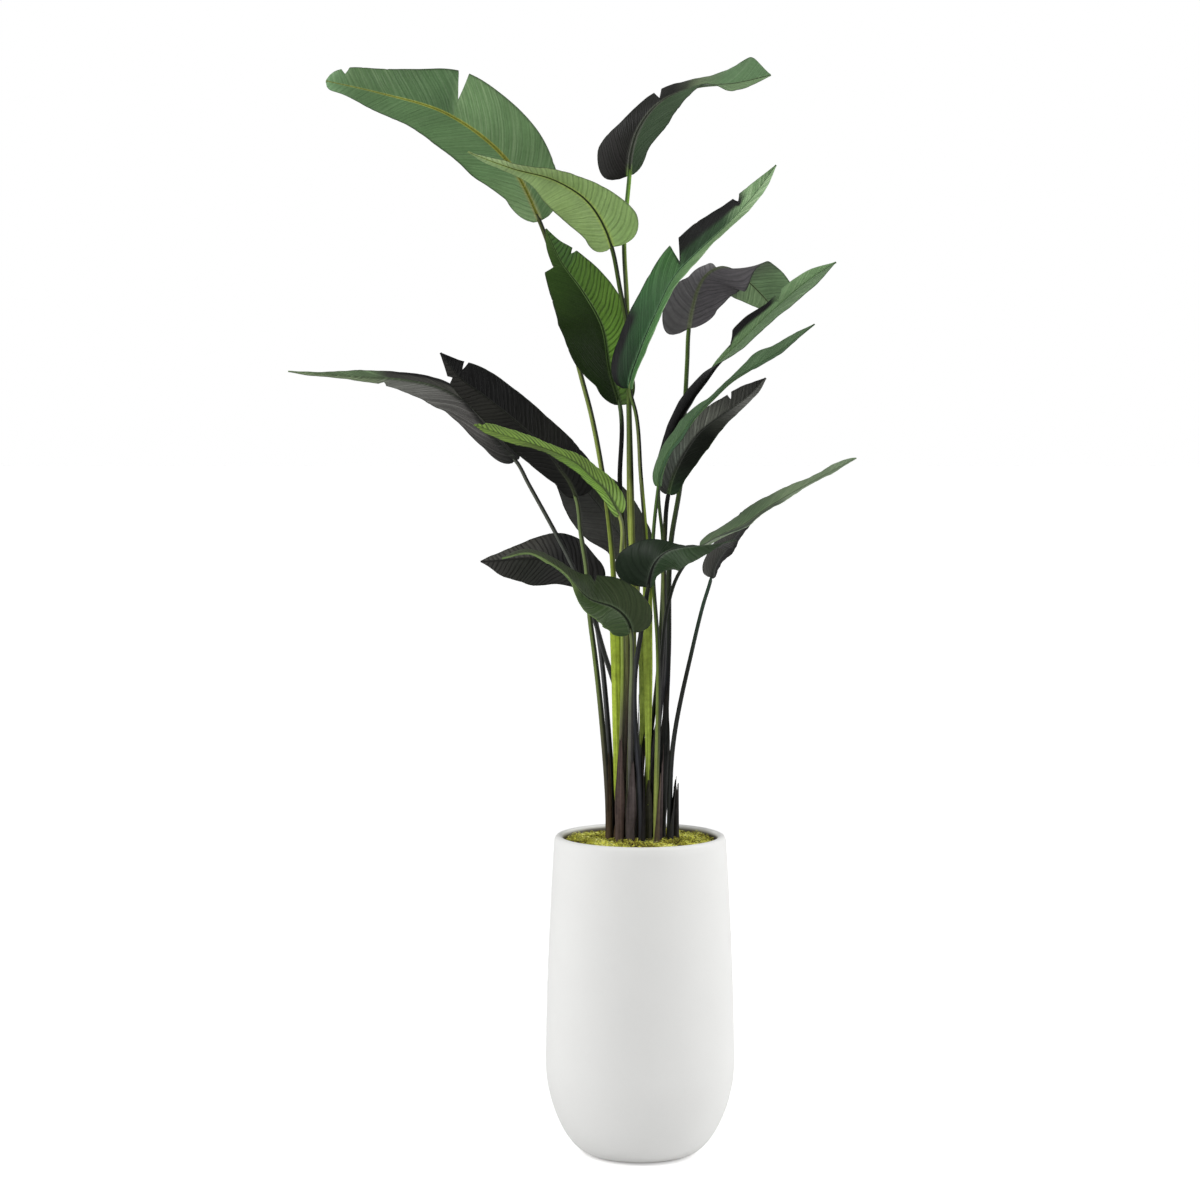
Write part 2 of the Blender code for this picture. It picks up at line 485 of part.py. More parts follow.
def frond_rings(frond):
    """Rings of 14 points: seven across the top face from left to right, and seven back across the underside.

    On the stem a ring is an oval with a groove. On the blade each half leaves the rib at its own angle, as
    a straight line of the half width, and the underside is the same line moved down by the thickness.
    """
    centre, tangent, side, toward, roll, fold, share, along = frond_stations(frond)
    count = len(centre)
    stem_count = int(np.sum(share == 0))
    top = np.zeros((count, 7, 3))
    bottom = np.zeros((count, 7, 3))
    blade_share = share[stem_count:]

    width = (STEM_WIDTH_FOOT + (STEM_WIDTH_TOP - STEM_WIDTH_FOOT) * along) / 2
    depth = width * STEM_DEPTH_SHARE
    lift = np.cos(roll)[:, None] * toward - np.sin(roll)[:, None] * side
    across = np.cos(roll)[:, None] * side + np.sin(roll)[:, None] * toward
    for column, (angle, cut) in enumerate(zip(np.radians(STEM_RING_ANGLES), STEM_RING_GROOVE)):
        out = width[:, None] * np.cos(angle) * across
        top[:, column] = centre + out + (depth * (np.sin(angle) - STEM_GROOVE * cut))[:, None] * lift
        bottom[:, column] = centre + out - (depth * np.sin(angle))[:, None] * lift

    here = slice(stem_count, None)
    rib = RIB_HALF_WIDTH_TIP + (STEM_WIDTH_TOP / 2 - RIB_HALF_WIDTH_TIP) * (1 - blade_share) ** RIB_TAPER
    thick = BLADE_THICKNESS / 2
    halves = (("left", -1, (0, 1, 2)), ("right", 1, (6, 5, 4)))
    for (half, sign, columns), drop in zip(halves, frond.get("lobes", (1, 1))):
        reach = tear_reach(frond, blade_share, half)
        half_width = np.maximum(outline(frond, blade_share, half), rib + LEAST_HALF_WIDTH)
        turn = fold[here] + sign * roll[here]
        outward = sign * np.cos(turn)[:, None] * side[here] + np.sin(turn)[:, None] * toward[here]
        normal = -sign * np.sin(turn)[:, None] * side[here] + np.cos(turn)[:, None] * toward[here]
        slant = vein_slant(blade_share, drop)
        for column, spread in zip(columns, (1.0, MIDDLE_COLUMN, None)):
            if spread is None:
                distance = rib
            else:
                distance = rib + (half_width - rib) * spread * reach
            forward = (slant * distance)[:, None] * tangent[here]
            ripple = MARGIN_WAVE * np.sin(2 * math.pi * WAVES_PER_BLADE * blade_share + WAVE_START[half])
            ripple = ripple * (distance / half_width) ** 2 * np.clip((1 - blade_share) * 6, 0, 1)
            place = centre[here] + distance[:, None] * outward + forward + ripple[:, None] * normal
            top[here, column] = place + thick * normal
            bottom[here, column] = place - thick * normal
    middle = np.cos(roll[here])[:, None] * toward[here] - np.sin(roll[here])[:, None] * side[here]
    top[here, 3] = centre[here] + (thick - RIB_CHANNEL_SHARE * rib)[:, None] * middle
    bottom[here, 3] = centre[here] - (thick + RIB_DEPTH_SHARE * rib)[:, None] * middle
    return top, bottom


def loft_faces(stations):
    """Triangles over a frond's rings. Both faces of the blade are split along the same lines."""
    faces = []
    for row in range(stations - 1):
        low = row * 14
        high = low + 14
        for column in range(6):
            left, right = column, column + 1
            under_left, under_right = 13 - column, 12 - column
            if column < 3:
                faces += [(low + left, low + right, high + left), (low + right, high + right, high + left)]
                faces += [(low + under_right, low + under_left, high + under_left),
                          (low + under_right, high + under_left, high + under_right)]
            else:
                faces += [(low + left, low + right, high + right), (low + left, high + right, high + left)]
                faces += [(low + under_right, low + under_left, high + under_right),
                          (low + under_left, high + under_left, high + under_right)]
        for edge, following in ((6, 7), (13, 0)):
            faces.append((low + edge, low + following, high + following))
            faces.append((low + edge, high + following, high + edge))
    last = (stations - 1) * 14
    for column in range(6):
        left, right, under_left, under_right = column, column + 1, 13 - column, 12 - column
        faces += [(left, under_left, under_right), (left, under_right, right)]
        faces.append((last + left, last + right, last + under_right))
        faces.append((last + left, last + under_right, last + under_left))
    return faces


def make_frond(name, frond, material, group):
    """One frond: stem, rib and blade as a single closed loft between its unlike rings."""
    top, bottom = frond_rings(frond)
    rings = np.concatenate([top, bottom[:, ::-1]], axis=1)
    return make_object(name, rings.reshape(-1, 3), loft_faces(len(rings)), material, group)


def make_stub(name, stub, material, group):
    """A cut sheath stub: a tapering oval, standing in the soil, with a slanted cut."""
    x, y = stub["foot"]
    mesh = bmesh.new()
    bmesh.ops.create_cone(mesh, cap_ends=True, segments=STUB_SIDES, radius1=stub["width"] / 2,
                          radius2=stub["width"] * STUB_TOP_SHARE, depth=stub["top"] - STEM_FOOT_Z)
    for vertex in mesh.verts:
        if vertex.co.z > 0:
            vertex.co.z += vertex.co.x * STUB_CUT_SLOPE
        vertex.co.x += x
        vertex.co.y = vertex.co.y * STEM_DEPTH_SHARE + y
        vertex.co.z += (stub["top"] + STEM_FOOT_Z) / 2
    data = bpy.data.meshes.new(name)
    mesh.to_mesh(data)
    mesh.free()
    return link_mesh(name, data, material, group)


def add_hole_cutters(group):
    """Plain round cutters, a little wider than each stem's foot, from just under it to above the moss."""
    feet = [(name, frond["foot"], STEM_WIDTH_FOOT / 2) for name, frond in FRONDS.items()]
    feet += [(name, stub["foot"], stub["width"] / 2) for name, stub in STUBS.items()]
    bottom = STEM_FOOT_Z - GAP
    depth = HOLE_TOP - bottom
    for name, (x, y), radius in feet:
        mesh = bmesh.new()
        bmesh.ops.create_cone(mesh, cap_ends=True, segments=HOLE_SIDES, radius1=radius + HOLE_CLEARANCE,
                              radius2=radius + HOLE_CLEARANCE, depth=depth)
        bmesh.ops.translate(mesh, verts=mesh.verts, vec=(x, y, bottom + depth / 2))
        data = bpy.data.meshes.new("hole_" + name)
        mesh.to_mesh(data)
        mesh.free()
        cutter = bpy.data.objects.new("hole_" + name, data)
        cutter.hide_render = True
        cutter.display_type = "WIRE"
        group.objects.link(cutter)


def cut_holes(item, cutters):
    """Cut every stem's hole out of a solid with one exact Boolean on the cutters' collection."""
    cut = item.modifiers.new("stem_holes", "BOOLEAN")
    cut.operation = "DIFFERENCE"
    cut.operand_type = "COLLECTION"
    cut.collection = cutters
    cut.solver = "EXACT"


def make_soil(material, group, cutters):
    """The soil: it fills the planter from its floor, a hair inside the wall."""
    clear = SOIL_WALL_CLEARANCE
    profile = [(0.0, SOIL_TOP)]
    profile += [(pot_inner_radius(h) - clear, h) for h in reversed(INNER_ROWS) if h <= SOIL_TOP]
    profile += [(floor_radius() - clear, POT_FLOOR + GAP), (0.0, POT_FLOOR + GAP)]
    soil = turned("soil", profile, material, group)
    cut_holes(soil, cutters)
    return soil


def moss_height(radius, angle):
    """Height of the moss: a low dome with soft lumps, which start from its middle."""
    reach = pot_inner_radius(MOSS_EDGE_HEIGHT) - MOSS_WALL_CLEARANCE
    share = radius / reach
    lumps = (np.sin(3 * angle + 7 * share) + np.sin(5 * angle - 9 * share + 1.3)
             + np.sin(8 * angle + 4 * share + 2.1)) / 3
    return MOSS_EDGE_HEIGHT + MOSS_DOME * (1 - share ** 2) + MOSS_RELIEF * lumps * np.clip(share * 4, 0, 1)


def make_moss(material, group, cutters):
    """The moss: a disc on the soil with a lumpy top, worked out ring by ring."""
    reach = pot_inner_radius(MOSS_EDGE_HEIGHT) - MOSS_WALL_CLEARANCE
    rng = np.random.default_rng(MOSS_SEED)
    count = POT_SEGMENTS
    bottom_z = SOIL_TOP + GAP
    vertices = [(0.0, 0.0, moss_height(0.0, 0.0))]
    angles = np.arange(count) * 2 * math.pi / count
    for ring in range(1, MOSS_RINGS + 1):
        radius = reach * (ring / MOSS_RINGS) ** 0.8
        jitter = rng.uniform(-1, 1, count) * MOSS_RELIEF * 0.5 * (ring < MOSS_RINGS)
        heights = moss_height(np.full(count, radius), angles) + jitter
        vertices += list(zip(radius * np.cos(angles), radius * np.sin(angles), heights))
    under = pot_inner_radius(SOIL_TOP) - MOSS_WALL_CLEARANCE
    vertices += list(zip(under * np.cos(angles), under * np.sin(angles), np.full(count, bottom_z)))
    vertices.append((0.0, 0.0, bottom_z))
    faces = []
    for k in range(count):
        following = (k + 1) % count
        faces.append((0, 1 + k, 1 + following))
        for ring in range(MOSS_RINGS):
            low = 1 + ring * count
            high = low + count
            faces += [(low + k, high + k, high + following), (low + k, high + following, low + following)]
        last = 1 + MOSS_RINGS * count
        faces.append((last + count, last + following, last + k))
    moss = make_object("moss", vertices, faces, material, group)
    cut_holes(moss, cutters)
    return moss


def frond_finish(name):
    """The name of a frond's finish."""
    if name in LIGHT_FRONDS:
        return "leaf_light"
    return "leaf_dark" if name in DARK_FRONDS else "leaf_green"


def main():
    """Build the whole plant."""
    clear_scene()
    parts = make_collection("potted_travelers_palm")
    cutters = make_collection("cutters")
    finish = {name: make_material(name) for name in FINISHES}
    add_hole_cutters(cutters)
    make_planter(finish["pot_white"], parts)
    make_soil(finish["soil_brown"], parts, cutters)
    make_moss(finish["moss_green"], parts, cutters)
    for name, frond in FRONDS.items():
        make_frond(name, frond, finish[frond_finish(name)], parts)
    for name, stub in STUBS.items():
        make_stub(name, stub, finish["sheath_brown"], parts)


main()
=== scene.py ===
"""Looks of a potted travelers palm: planter, soil, moss, eighteen fronds, and the sheaths at the feet of the stems.

Metres, +Z up, the same frame as the solids. A frond is a stem tube and a blade. Both follow one smooth path,
and the blade is a grid of two parameters: the share along the rib, and the share from the rib to the margin.
Colours are red, green and blue from 0 to 255, as the eye sees them.
"""
import math

import bpy
import numpy as np
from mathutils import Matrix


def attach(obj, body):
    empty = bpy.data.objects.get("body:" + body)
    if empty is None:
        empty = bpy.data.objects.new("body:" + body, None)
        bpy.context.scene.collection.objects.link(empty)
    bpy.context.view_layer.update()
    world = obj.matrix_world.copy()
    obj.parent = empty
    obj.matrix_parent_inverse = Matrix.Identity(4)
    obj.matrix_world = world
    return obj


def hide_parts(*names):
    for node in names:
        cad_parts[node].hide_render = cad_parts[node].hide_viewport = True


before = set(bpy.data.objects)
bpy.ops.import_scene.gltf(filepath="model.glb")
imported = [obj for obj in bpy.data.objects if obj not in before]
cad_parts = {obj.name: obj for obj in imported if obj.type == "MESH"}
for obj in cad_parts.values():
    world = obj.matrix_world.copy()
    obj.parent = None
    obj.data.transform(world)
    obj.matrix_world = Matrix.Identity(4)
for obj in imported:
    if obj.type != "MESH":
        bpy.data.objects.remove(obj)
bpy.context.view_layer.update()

# Planter: its outside as the solid has it, the rows of its profile, and its finish
POT_HEIGHT = 0.627
POT_BASE_RADIUS = 0.097
POT_BELLY_RADIUS = 0.1855
POT_BELLY_HEIGHT = 0.173
POT_RIM_RADIUS = 0.1675
POT_WALL = 0.0165
BOWL_RISE = 1.7
BOWL_ROUNDNESS = 1.8
SHOULDER_ROUNDNESS = 1.6
POT_SEGMENTS = 160
POT_INSIDE_Z = 0.560
INSIDE_ROWS = 12
RIM_ROWS = 17
OUTSIDE_ROWS = 44
CLOSER_ROWS_Z = 0.20
CLOSER_ROWS = 1.6
LOWEST_ROW_Z = 0.0016
UNSHADED_ROWS = (-2, 3)
FOOT_INSETS = (0.0005, 0.004)
FOOT_HEIGHTS = (0.0004, 0.0)
GLAZE_WHITE = (236, 236, 234)
GLAZE_ROUGHNESS = 0.58
# the inner wall below the rim, painted dark as shade
INNER_WALL_SHADE_COLOUR = (58, 48, 42)
# the brownish darkening at the foot and how high it reaches: painted contact shadow
FOOT_SHADE_COLOUR = (150, 136, 118)
FOOT_SHADE_HEIGHT = 0.012

# Moss and soil. Sizes, heights, lengths, rises and thicknesses are the least and the most. MOSS_LUMPS and
# MOSS_PATCHES are rows for waves(). SINK says how far the bed and the fibres start below the moss's height.
MOSS_EDGE_HEIGHT = 0.612
MOSS_DOME = 0.008
MOSS_RELIEF = 0.0022
MOSS_UNDERSIDE = 0.5963
MOSS_WALL_CLEARANCE = 0.0010
MOSS_LUMPS = ((3, 7, 0), (5, -9, 1.3), (8, 4, 2.1))
LUMPS_START = 0.25
FIRST_RING = 0.002
MOSS_RINGS = 60
MOSS_SEGMENTS = 200
MOSS_SEED = 11
BED_SINK = 0.001
MOSS_TUFTS = 420
TUFT_EDGE = (0, -0.006)
TUFT_SIZES = (0.004, 0.011)
TUFT_HEIGHTS = (-0.0022, 0.0034)
MOSS_FIBRES = 3400
FIBRE_CLEARANCE = 0.004
FIBRE_SINK = 0.0009
FIBRE_STEPS = 6
FIBRE_LENGTHS = (0.008, 0.022)
FIBRE_RISES = (0.0015, 0.0065)
FIBRE_CURL = 2.2
FIBRE_THICKNESSES = (0.00035, 0.00075)
FIBRE_TAPER = 0.6
MOSS_PATCHES = ((61, 17, 1), (-29, 43, 2.2), (77.6, 71, 4))
MOSS_PATCH_STRENGTH = 0.40
MOSS_TONE_STRENGTH = 0.9
MOSS_MIDDLE = 0.46
BED_TONE = 0.40
BED_SPECKLE = 0.2
SPECKLE_RATES = (311, 287)
MOSS_TONES = ((0, (44, 33, 20)), (0.22, (130, 116, 48)), (0.42, (208, 206, 80)), (0.7, (240, 242, 112)),
              (1, (252, 252, 168)))
SOIL_DARK = (34, 26, 18)
SOIL_LIGHT = (92, 72, 52)

# Stems. The border between the painted lit side and the painted shaded side is a ramp across the part that the viewer
# sees.
STEM_FOOT_Z = 0.520
STEM_STRAIGHT_Z = 0.600
STEM_LEAVES_SOIL_Z = 0.660
STEM_WIDTH_FOOT = 0.0130
STEM_WIDTH_TOP = 0.0086
STEM_DEPTH_SHARE = 0.82
STEM_GROOVE = 0.30
STEM_GROOVE_WIDTH = 0.55
STEM_GROOVE_DEEPENS = (0.1875, 0.8125)
STEM_SIDES = 20
STEM_START_Z = 0.575
STEM_END_SHARE = 0.035
STEM_LEAST_ROWS = 24
STEM_ROW_STEP = 0.012
STEM_BLUNT_END = 0.05
STEM_LIGHT_SHADE_BORDER = (-0.15, 0.3)
PATH_SAMPLES = 24
TANGENT_STEP = 0.004
VIEWER_SIDE = (0.0, -1.0, 0.0)

# Blades: the rib across its half width, the halves from rib to margin, and what their margins do
BLADE_THICKNESS = 0.0007
BLADE_START = 0.004
BLADE_ROWS = 110
RIB_COLUMNS = (-0.72, -0.36, 0.0, 0.36, 0.72)
RIB_HALF_WIDTH_TIP = 0.0011
RIB_TAPER = 1.2
RIB_DEPTH_SHARE = 1.5
KEEL_ROUNDNESS = 0.8
RIB_CHANNEL_SHARE = 0.42
RIB_CHANNEL_WIDTH = 0.38
RIB_BORDER_SHARE = 0.28
RIB_BORDER_PLACE = 0.72
RIB_BORDER_WIDTH = 0.22
INNER_SPREAD = (0, 0.022)
MIDDLE_SPREAD = (0.10, 0.93)
MIDDLE_COLUMNS = 9
OUTER_SPREAD = (0.965, 1.0)
OUTLINE_SHARES = (0.10, 0.22, 0.35, 0.50, 0.65, 0.80, 0.92, 1.0)
ROUND_BASE = 0.10
LEAST_HALF_WIDTH = 0.0008
TIP_HALF_WIDTH = 0.0012
BLUNT_TIP = 0.035
BLUNTEST = 0.999
TEAR_HALF_WIDTH = 0.016
TEAR_ROWS = (0, 0.04, 0.12, 0.25, 0.45, 0.7, 0.95, 1.1)
TEAR_POWER = 0.75
NICKS = 3
NICK_PLACES = (0.10, 0.97)
NICK_DEPTHS = (0.008, 0.028)
NICK_HALF_WIDTH = 0.007
VEIN_SLANT = 0.32
LOBE_DROP = 1.4
LOBE_SHARE = 0.09
SLANT_FADE = 0.15
ARCH = 0.0022
ARCH_FULL_WIDTH = 0.05
MARGIN_WAVE = 0.0014
WAVES_PER_BLADE = 3.2
WAVE_START = {"left": 2.6, "right": 0.9}
FLUTTER = 0.0004
FLUTTER_RATES = (9, 15, 23)
TIP_CALM = 6

# Colours on a blade: the dark line at its margin, the ramps at the borders of a patch of painted shade, and how
# strongly the rib's colour shows from its middle outward
DARK_EDGE = (34, 42, 28)
MARGIN_LINE = 0.75
MARGIN_LINE_START = 0.94
PATCH_START = (-0.03, 0.001)
PATCH_END = (0, 0.06)
PATCH_INNER = (-0.12, 0.06)
PLEATS_START = 1.01
# The rib's channel is darkened from the half's colour where a frond gives no channel colour: painted shade in the
# groove
CHANNEL_SHADE = 0.22
CHANNEL_STRENGTH = 0.95
CHANNEL_EDGE = (0.90, 0.40)
RIB_SHINE_PLACES = (0.0, 0.50, 0.85, 1.15, 1.50)
RIB_SHINE = (0.0, 0.35, 1.0, 0.8, 0.0)
KEEL_SHINE = (1.0, 0.95, 0.8, 0.3, 0.0)

# Finishes of the leaves: roughness, how much the fine veins show, how pale the streaks of painted sheen are, and
# shine
LEAF_FINISHES = {
    "leaf_green": (0.42, 0.8, (4.2, 3.0, 4.2), 0.15),
    "leaf_light": (0.44, 0.8, (1.8, 1.6, 2.2), 0.26),
    "leaf_dark": (0.46, 0.9, (2.6, 2.6, 2.6), 0.08),
}

# Camera, found from the photograph. CAMERA_DIP is in degrees.
CAMERA_PLACE = (-0.0786, -5.5, 1.472)
CAMERA_DIP = 4.0
CAMERA_LENS = 85.0
CAMERA_SENSOR = 36.0

# Light. The room's strength is LEAST, plus SIDES times the fourth power of the direction's X, and so on.
FLOOR_HALF_SIZE = 60.0
FLOOR_DROP = 0.0004
FLOOR_SEEN = 0.95
FLOOR_BOUNCE = 0.85
FLOOR_GLOW = 0.45
ROOM_LEAST = 0.04
ROOM_SIDES = 2.6
ROOM_RIGHT = 0.08
ROOM_ABOVE = 0.40
ROOM_FRONT = 0.10
LIGHTS = (("key", (-2.4, -3.0, 3.6), (-0.1, 0, 1.3), 1.2, 70),
          ("rim", (3.0, -0.4, 2.6), (0, 0, 1.2), 1.6, 30))

# Each frond, as it grows: foot (x, y) of the stem in the soil, points that the stem passes,
# rib rows (x, y, z, roll, fold) from the base of the blade to its tip, half widths of the left and the right
# half at OUTLINE_SHARES, and tears (side, place along the rib, depth as a share of the half width).
# Roll turns the blade about its rib from facing the viewer, or from the direction called face. Fold lifts
# each half from flat. lobes: how far the base lobes of the left and the right half hang, as shares of
# LOBE_DROP. tip: half width of a blunt tip. clips (side, stops of share along the rib and kept part of the
# half width) make a few outlines a little narrower than their solids.
FRONDS = {
    "frond_top_left": dict(
        foot=(-.043, -.014),
        stem=[(-.048, -.006, .99), (-.057, .025, 1.2), (-.075, .035, 1.34), (-.0975, .05, 1.455), (-.115, .065, 1.52),
              (-.138, .07, 1.61), (-.17, .06, 1.75)],
        rib=[(-.195, .05, 1.82, -10, 8), (-.255, .04, 1.934, -15, 10), (-.367, .04, 2.024, -20, 10),
             (-.513, .05, 2.071, -15, 8), (-.611, .06, 2.094, -5, 5)],
        left=(.045, .078, .078, .072, .053, .036, .02), right=(.069, .082, .088, .09, .064, .046, .034),
        lobes=(.2, .4), tip=.016, tears=[("right", .505, .62), ("right", .93, .35)]),
    "frond_top_middle": dict(
        foot=(-.023, -.02),
        stem=[(-.014, -.035, .99), (-.016, -.04, 1.2), (-.0225, -.04, 1.46), (-.027, -.04, 1.62),
              (-.04, -.045, 1.686)],
        rib=[(-.056, -.06, 1.765, -15, 12), (-.069, -.08, 1.8, -10, 14), (-.103, -.11, 1.85, 5, 20),
             (-.161, -.14, 1.886, 25, 28), (-.245, -.165, 1.908, 45, 20), (-.325, -.17, 1.937, 60, 10)],
        left=(.046, .06, .058, .044, .018, .01, .008), right=(.066, .05, .038, .03, .024, .016, .008)),
    "frond_top_right": dict(
        foot=(-.004, -.021),
        stem=[(.005, -.014, .99), (-.018, -.018, 1.203), (-.023, -.018, 1.46), (-.027, -.01, 1.668),
              (-.032, -.005, 1.783)],
        rib=[(-.022, 0, 1.905, 20, 15), (-.019, 0, 1.944, 24, 15), (-.004, 0, 1.995, 26, 12), (.03, 0, 2.04, 45, 10),
             (.098, 0, 2.074, 76, 8), (.185, 0, 2.083, 46, 10), (.25, 0, 2.098, 35, 15)],
        left=(.066, .037, .029, .037, .052, .051, .046), right=(.038, .054, .062, .061, .064, .027, .014),
        lobes=(1.7, .2), tears=[("left", .42, .7)]),
    "frond_centre_left": dict(
        foot=(-.032, .004), stem=[(-.024, 0, .99), (-.032, -.005, 1.203), (-.04, -.01, 1.311)],
        rib=[(-.04, -.02, 1.464, -2, 22), (-.059, -.01, 1.533, -2, 22), (-.075, 0, 1.62, 0, 22),
             (-.111, 0, 1.684, 0, 20), (-.154, 0, 1.743, 0, 18), (-.183, 0, 1.805, 0, 12)],
        left=(.037, .076, .089, .077, .06, .038, .024), right=(.043, .055, .056, .058, .051, .036, .014),
        lobes=(.3, 1), clips=[("left", [(.8, 1), (.801, .5)])], tears=[("left", .8, .62), ("right", .8, .3)]),
    "frond_centre_right": dict(
        foot=(.014, -.025),
        stem=[(.014, -.045, .99), (.01, -.055, 1.205), (-.0005, -.065, 1.332), (-.01, -.075, 1.45)],
        rib=[(-.021, -.085, 1.496, 55, 20), (-.001, -.1, 1.57, 58, 20), (.024, -.115, 1.63, 60, 20),
             (.065, -.13, 1.711, 60, 18), (.109, -.15, 1.756, 58, 18), (.159, -.17, 1.802, 55, 18),
             (.201, -.18, 1.847, 50, 18), (.249, -.19, 1.911, 45, 15)],
        left=(.06, .06, .057, .06, .05, .03, .014), right=(.036, .048, .062, .056, .034, .028, .022),
        tears=[("left", .49, .8), ("left", .8, .4)]),
    "frond_upper_right": dict(
        foot=(.043, 0), face=(-1, 0, 0),
        stem=[(.055, .018, .99), (.061, .055, 1.2), (.08, .095, 1.31), (.09, .12, 1.476), (.094, .124, 1.554)],
        rib=[(.097, .126, 1.615, 90, 5), (.106, .129, 1.664, 90, 5), (.115, .133, 1.694, 90, 5),
             (.13, .141, 1.72, 90, 5), (.156, .155, 1.736, 90, 5), (.19, .178, 1.732, 90, 5),
             (.221, .196, 1.709, 90, 5), (.254, .21, 1.677, 90, 5), (.278, .216, 1.648, 90, 5)],
        left=(.048, .07, .078, .074, .066, .062, .048), right=(.08, .078, .07, .064, .048, .032, .016),
        lobes=(0, 2.2), clips=[("right", [(.16, .7), (.28, .34), (.4, .28), (.48, .42), (.57, 1)])],
        tears=[("left", .86, .35)]),
    "frond_long_right": dict(
        foot=(.008, .013), stem=[(.038, .03, .99), (.044, .05, 1.2)],
        rib=[(.037, .06, 1.311, 100, 5), (.054, .06, 1.384, 104, 5), (.073, .058, 1.433, 106, 5),
             (.102, .055, 1.48, 105, 6), (.127, .052, 1.513, 96, 8), (.148, .05, 1.542, 80, 8),
             (.185, .045, 1.579, 68, 10), (.254, .03, 1.646, 64, 10), (.331, .01, 1.711, 62, 12),
             (.377, 0, 1.741, 62, 12)],
        left=(.052, .054, .052, .048, .044, .032, .02), right=(.044, .05, .046, .05, .054, .054, .046),
        clips=[("left", [(.24, 1), (.36, .3), (.534, .38), (.535, 1), (.62, 1), (.7, .78), (.78, 1)])],
        tears=[("left", .535, .5), ("left", .76, .6)]),
    "frond_narrow_right": dict(
        foot=(.03, -.042), stem=[(.033, -.055, .99), (.023, -.062, 1.205)],
        rib=[(.033, -.07, 1.309, 72, 8), (.036, -.072, 1.332, 74, 8), (.051, -.078, 1.373, 76, 8),
             (.074, -.084, 1.405, 76, 8), (.104, -.09, 1.447, 80, 8), (.135, -.094, 1.478, 86, 6),
             (.169, -.098, 1.51, 88, 6), (.21, -.104, 1.536, 72, 10), (.262, -.112, 1.568, 74, 10),
             (.327, -.12, 1.619, 78, 10)],
        left=(.038, .042, .034, .032, .046, .032, .018), right=(.028, .036, .038, .038, .034, .026, .016)),
    "frond_dark_right": dict(
        foot=(.022, -.004), stem=[(.046, -.006, .99), (.047, 0, 1.203)],
        rib=[(.054, 0, 1.292, 180, 38), (.061, 0, 1.321, 180, 38), (.077, 0, 1.358, 180, 38),
             (.094, -.003, 1.387, 180, 38), (.115, -.006, 1.414, 180, 36), (.144, -.008, 1.437, 180, 32),
             (.182, -.01, 1.464, 180, 28), (.215, -.01, 1.489, 180, 22), (.242, -.01, 1.518, 180, 15)],
        left=(.03, .042, .044, .033, .02, .012, .008), right=(.034, .046, .044, .036, .032, .026, .014),
        tears=[("right", .72, .45)]),
    "frond_low_right_dark": dict(
        foot=(.057, -.018), stem=[(.062, -.014, .79), (.101, .004, .99), (.124, .026, 1.08)],
        rib=[(.139, .04, 1.128, 120, 0), (.142, .044, 1.145, 118, 0), (.151, .052, 1.164, 116, 0),
             (.167, .064, 1.185, 116, 0), (.187, .078, 1.21, 114, 2), (.212, .09, 1.239, 112, 4),
             (.242, .1, 1.271, 112, 4)],
        left=(.022, .034, .044, .046, .042, .032, .018), right=(.046, .056, .056, .052, .046, .034, .018)),
    "frond_low_right_green": dict(
        foot=(.036, -.022), stem=[(.041, -.03, .983), (.053, -.026, 1.08), (.072, -.022, 1.137)],
        rib=[(.117, -.02, 1.192, 80, 8), (.152, -.02, 1.213, 80, 8), (.202, -.016, 1.236, 76, 8),
             (.237, -.01, 1.261, 74, 8), (.294, 0, 1.295, 76, 8), (.357, .012, 1.329, 78, 8),
             (.421, .03, 1.363, 78, 8)],
        left=(.04, .05, .05, .04, .03, .026, .022), right=(.032, .034, .03, .025, .023, .021, .016), tip=.01),
    "frond_front_right": dict(
        foot=(.002, -.042), stem=[(-.009, -.068, .97), (-.002, -.084, 1.017), (.007, -.104, 1.08)],
        rib=[(.013, -.118, 1.119, 8, -2), (.017, -.126, 1.142, 12, -6), (.022, -.136, 1.16, 24, -16),
             (.033, -.15, 1.178, 42, -28), (.05, -.168, 1.192, 54, -32), (.072, -.188, 1.199, 62, -30),
             (.103, -.208, 1.203, 74, -22), (.138, -.222, 1.208, 98, -16), (.175, -.232, 1.216, 112, -10)],
        left=(.074, .05, .03, .024, .024, .034, .028), right=(.012, .036, .044, .042, .04, .032, .02)),
    "frond_front_left": dict(
        foot=(-.019, -.042), stem=[(-.019, -.068, .889), (-.017, -.096, .98)],
        rib=[(-.019, -.115, 1.032, -15, 10), (-.023, -.125, 1.05, -15, 10), (-.035, -.138, 1.069, -18, 10),
             (-.056, -.152, 1.085, -24, 10), (-.078, -.165, 1.093, -36, 10), (-.096, -.174, 1.1, -48, 10),
             (-.111, -.181, 1.112, -60, 10), (-.127, -.187, 1.131, -74, 10), (-.146, -.19, 1.152, -80, 8),
             (-.171, -.19, 1.17, -80, 8), (-.208, -.188, 1.188, -80, 8), (-.263, -.18, 1.179, -80, 8)],
        left=(.042, .048, .042, .032, .028, .024, .018), right=(.052, .054, .05, .038, .03, .026, .018),
        tears=[("right", .33, .25)]),
    "frond_light_left": dict(
        foot=(-.04, -.036), stem=[(-.034, -.062, .99), (-.038, -.072, 1.16)],
        rib=[(-.042, -.098, 1.257, -50, 18), (-.052, -.104, 1.276, -54, 16), (-.07, -.11, 1.305, -58, 14),
             (-.094, -.117, 1.328, -62, 12), (-.122, -.123, 1.354, -66, 10), (-.162, -.13, 1.375, -68, 10),
             (-.207, -.138, 1.392, -68, 10), (-.258, -.148, 1.408, -66, 10), (-.316, -.158, 1.429, -62, 10)],
        left=(.032, .044, .046, .036, .032, .036, .026), right=(.032, .034, .028, .024, .024, .028, .018),
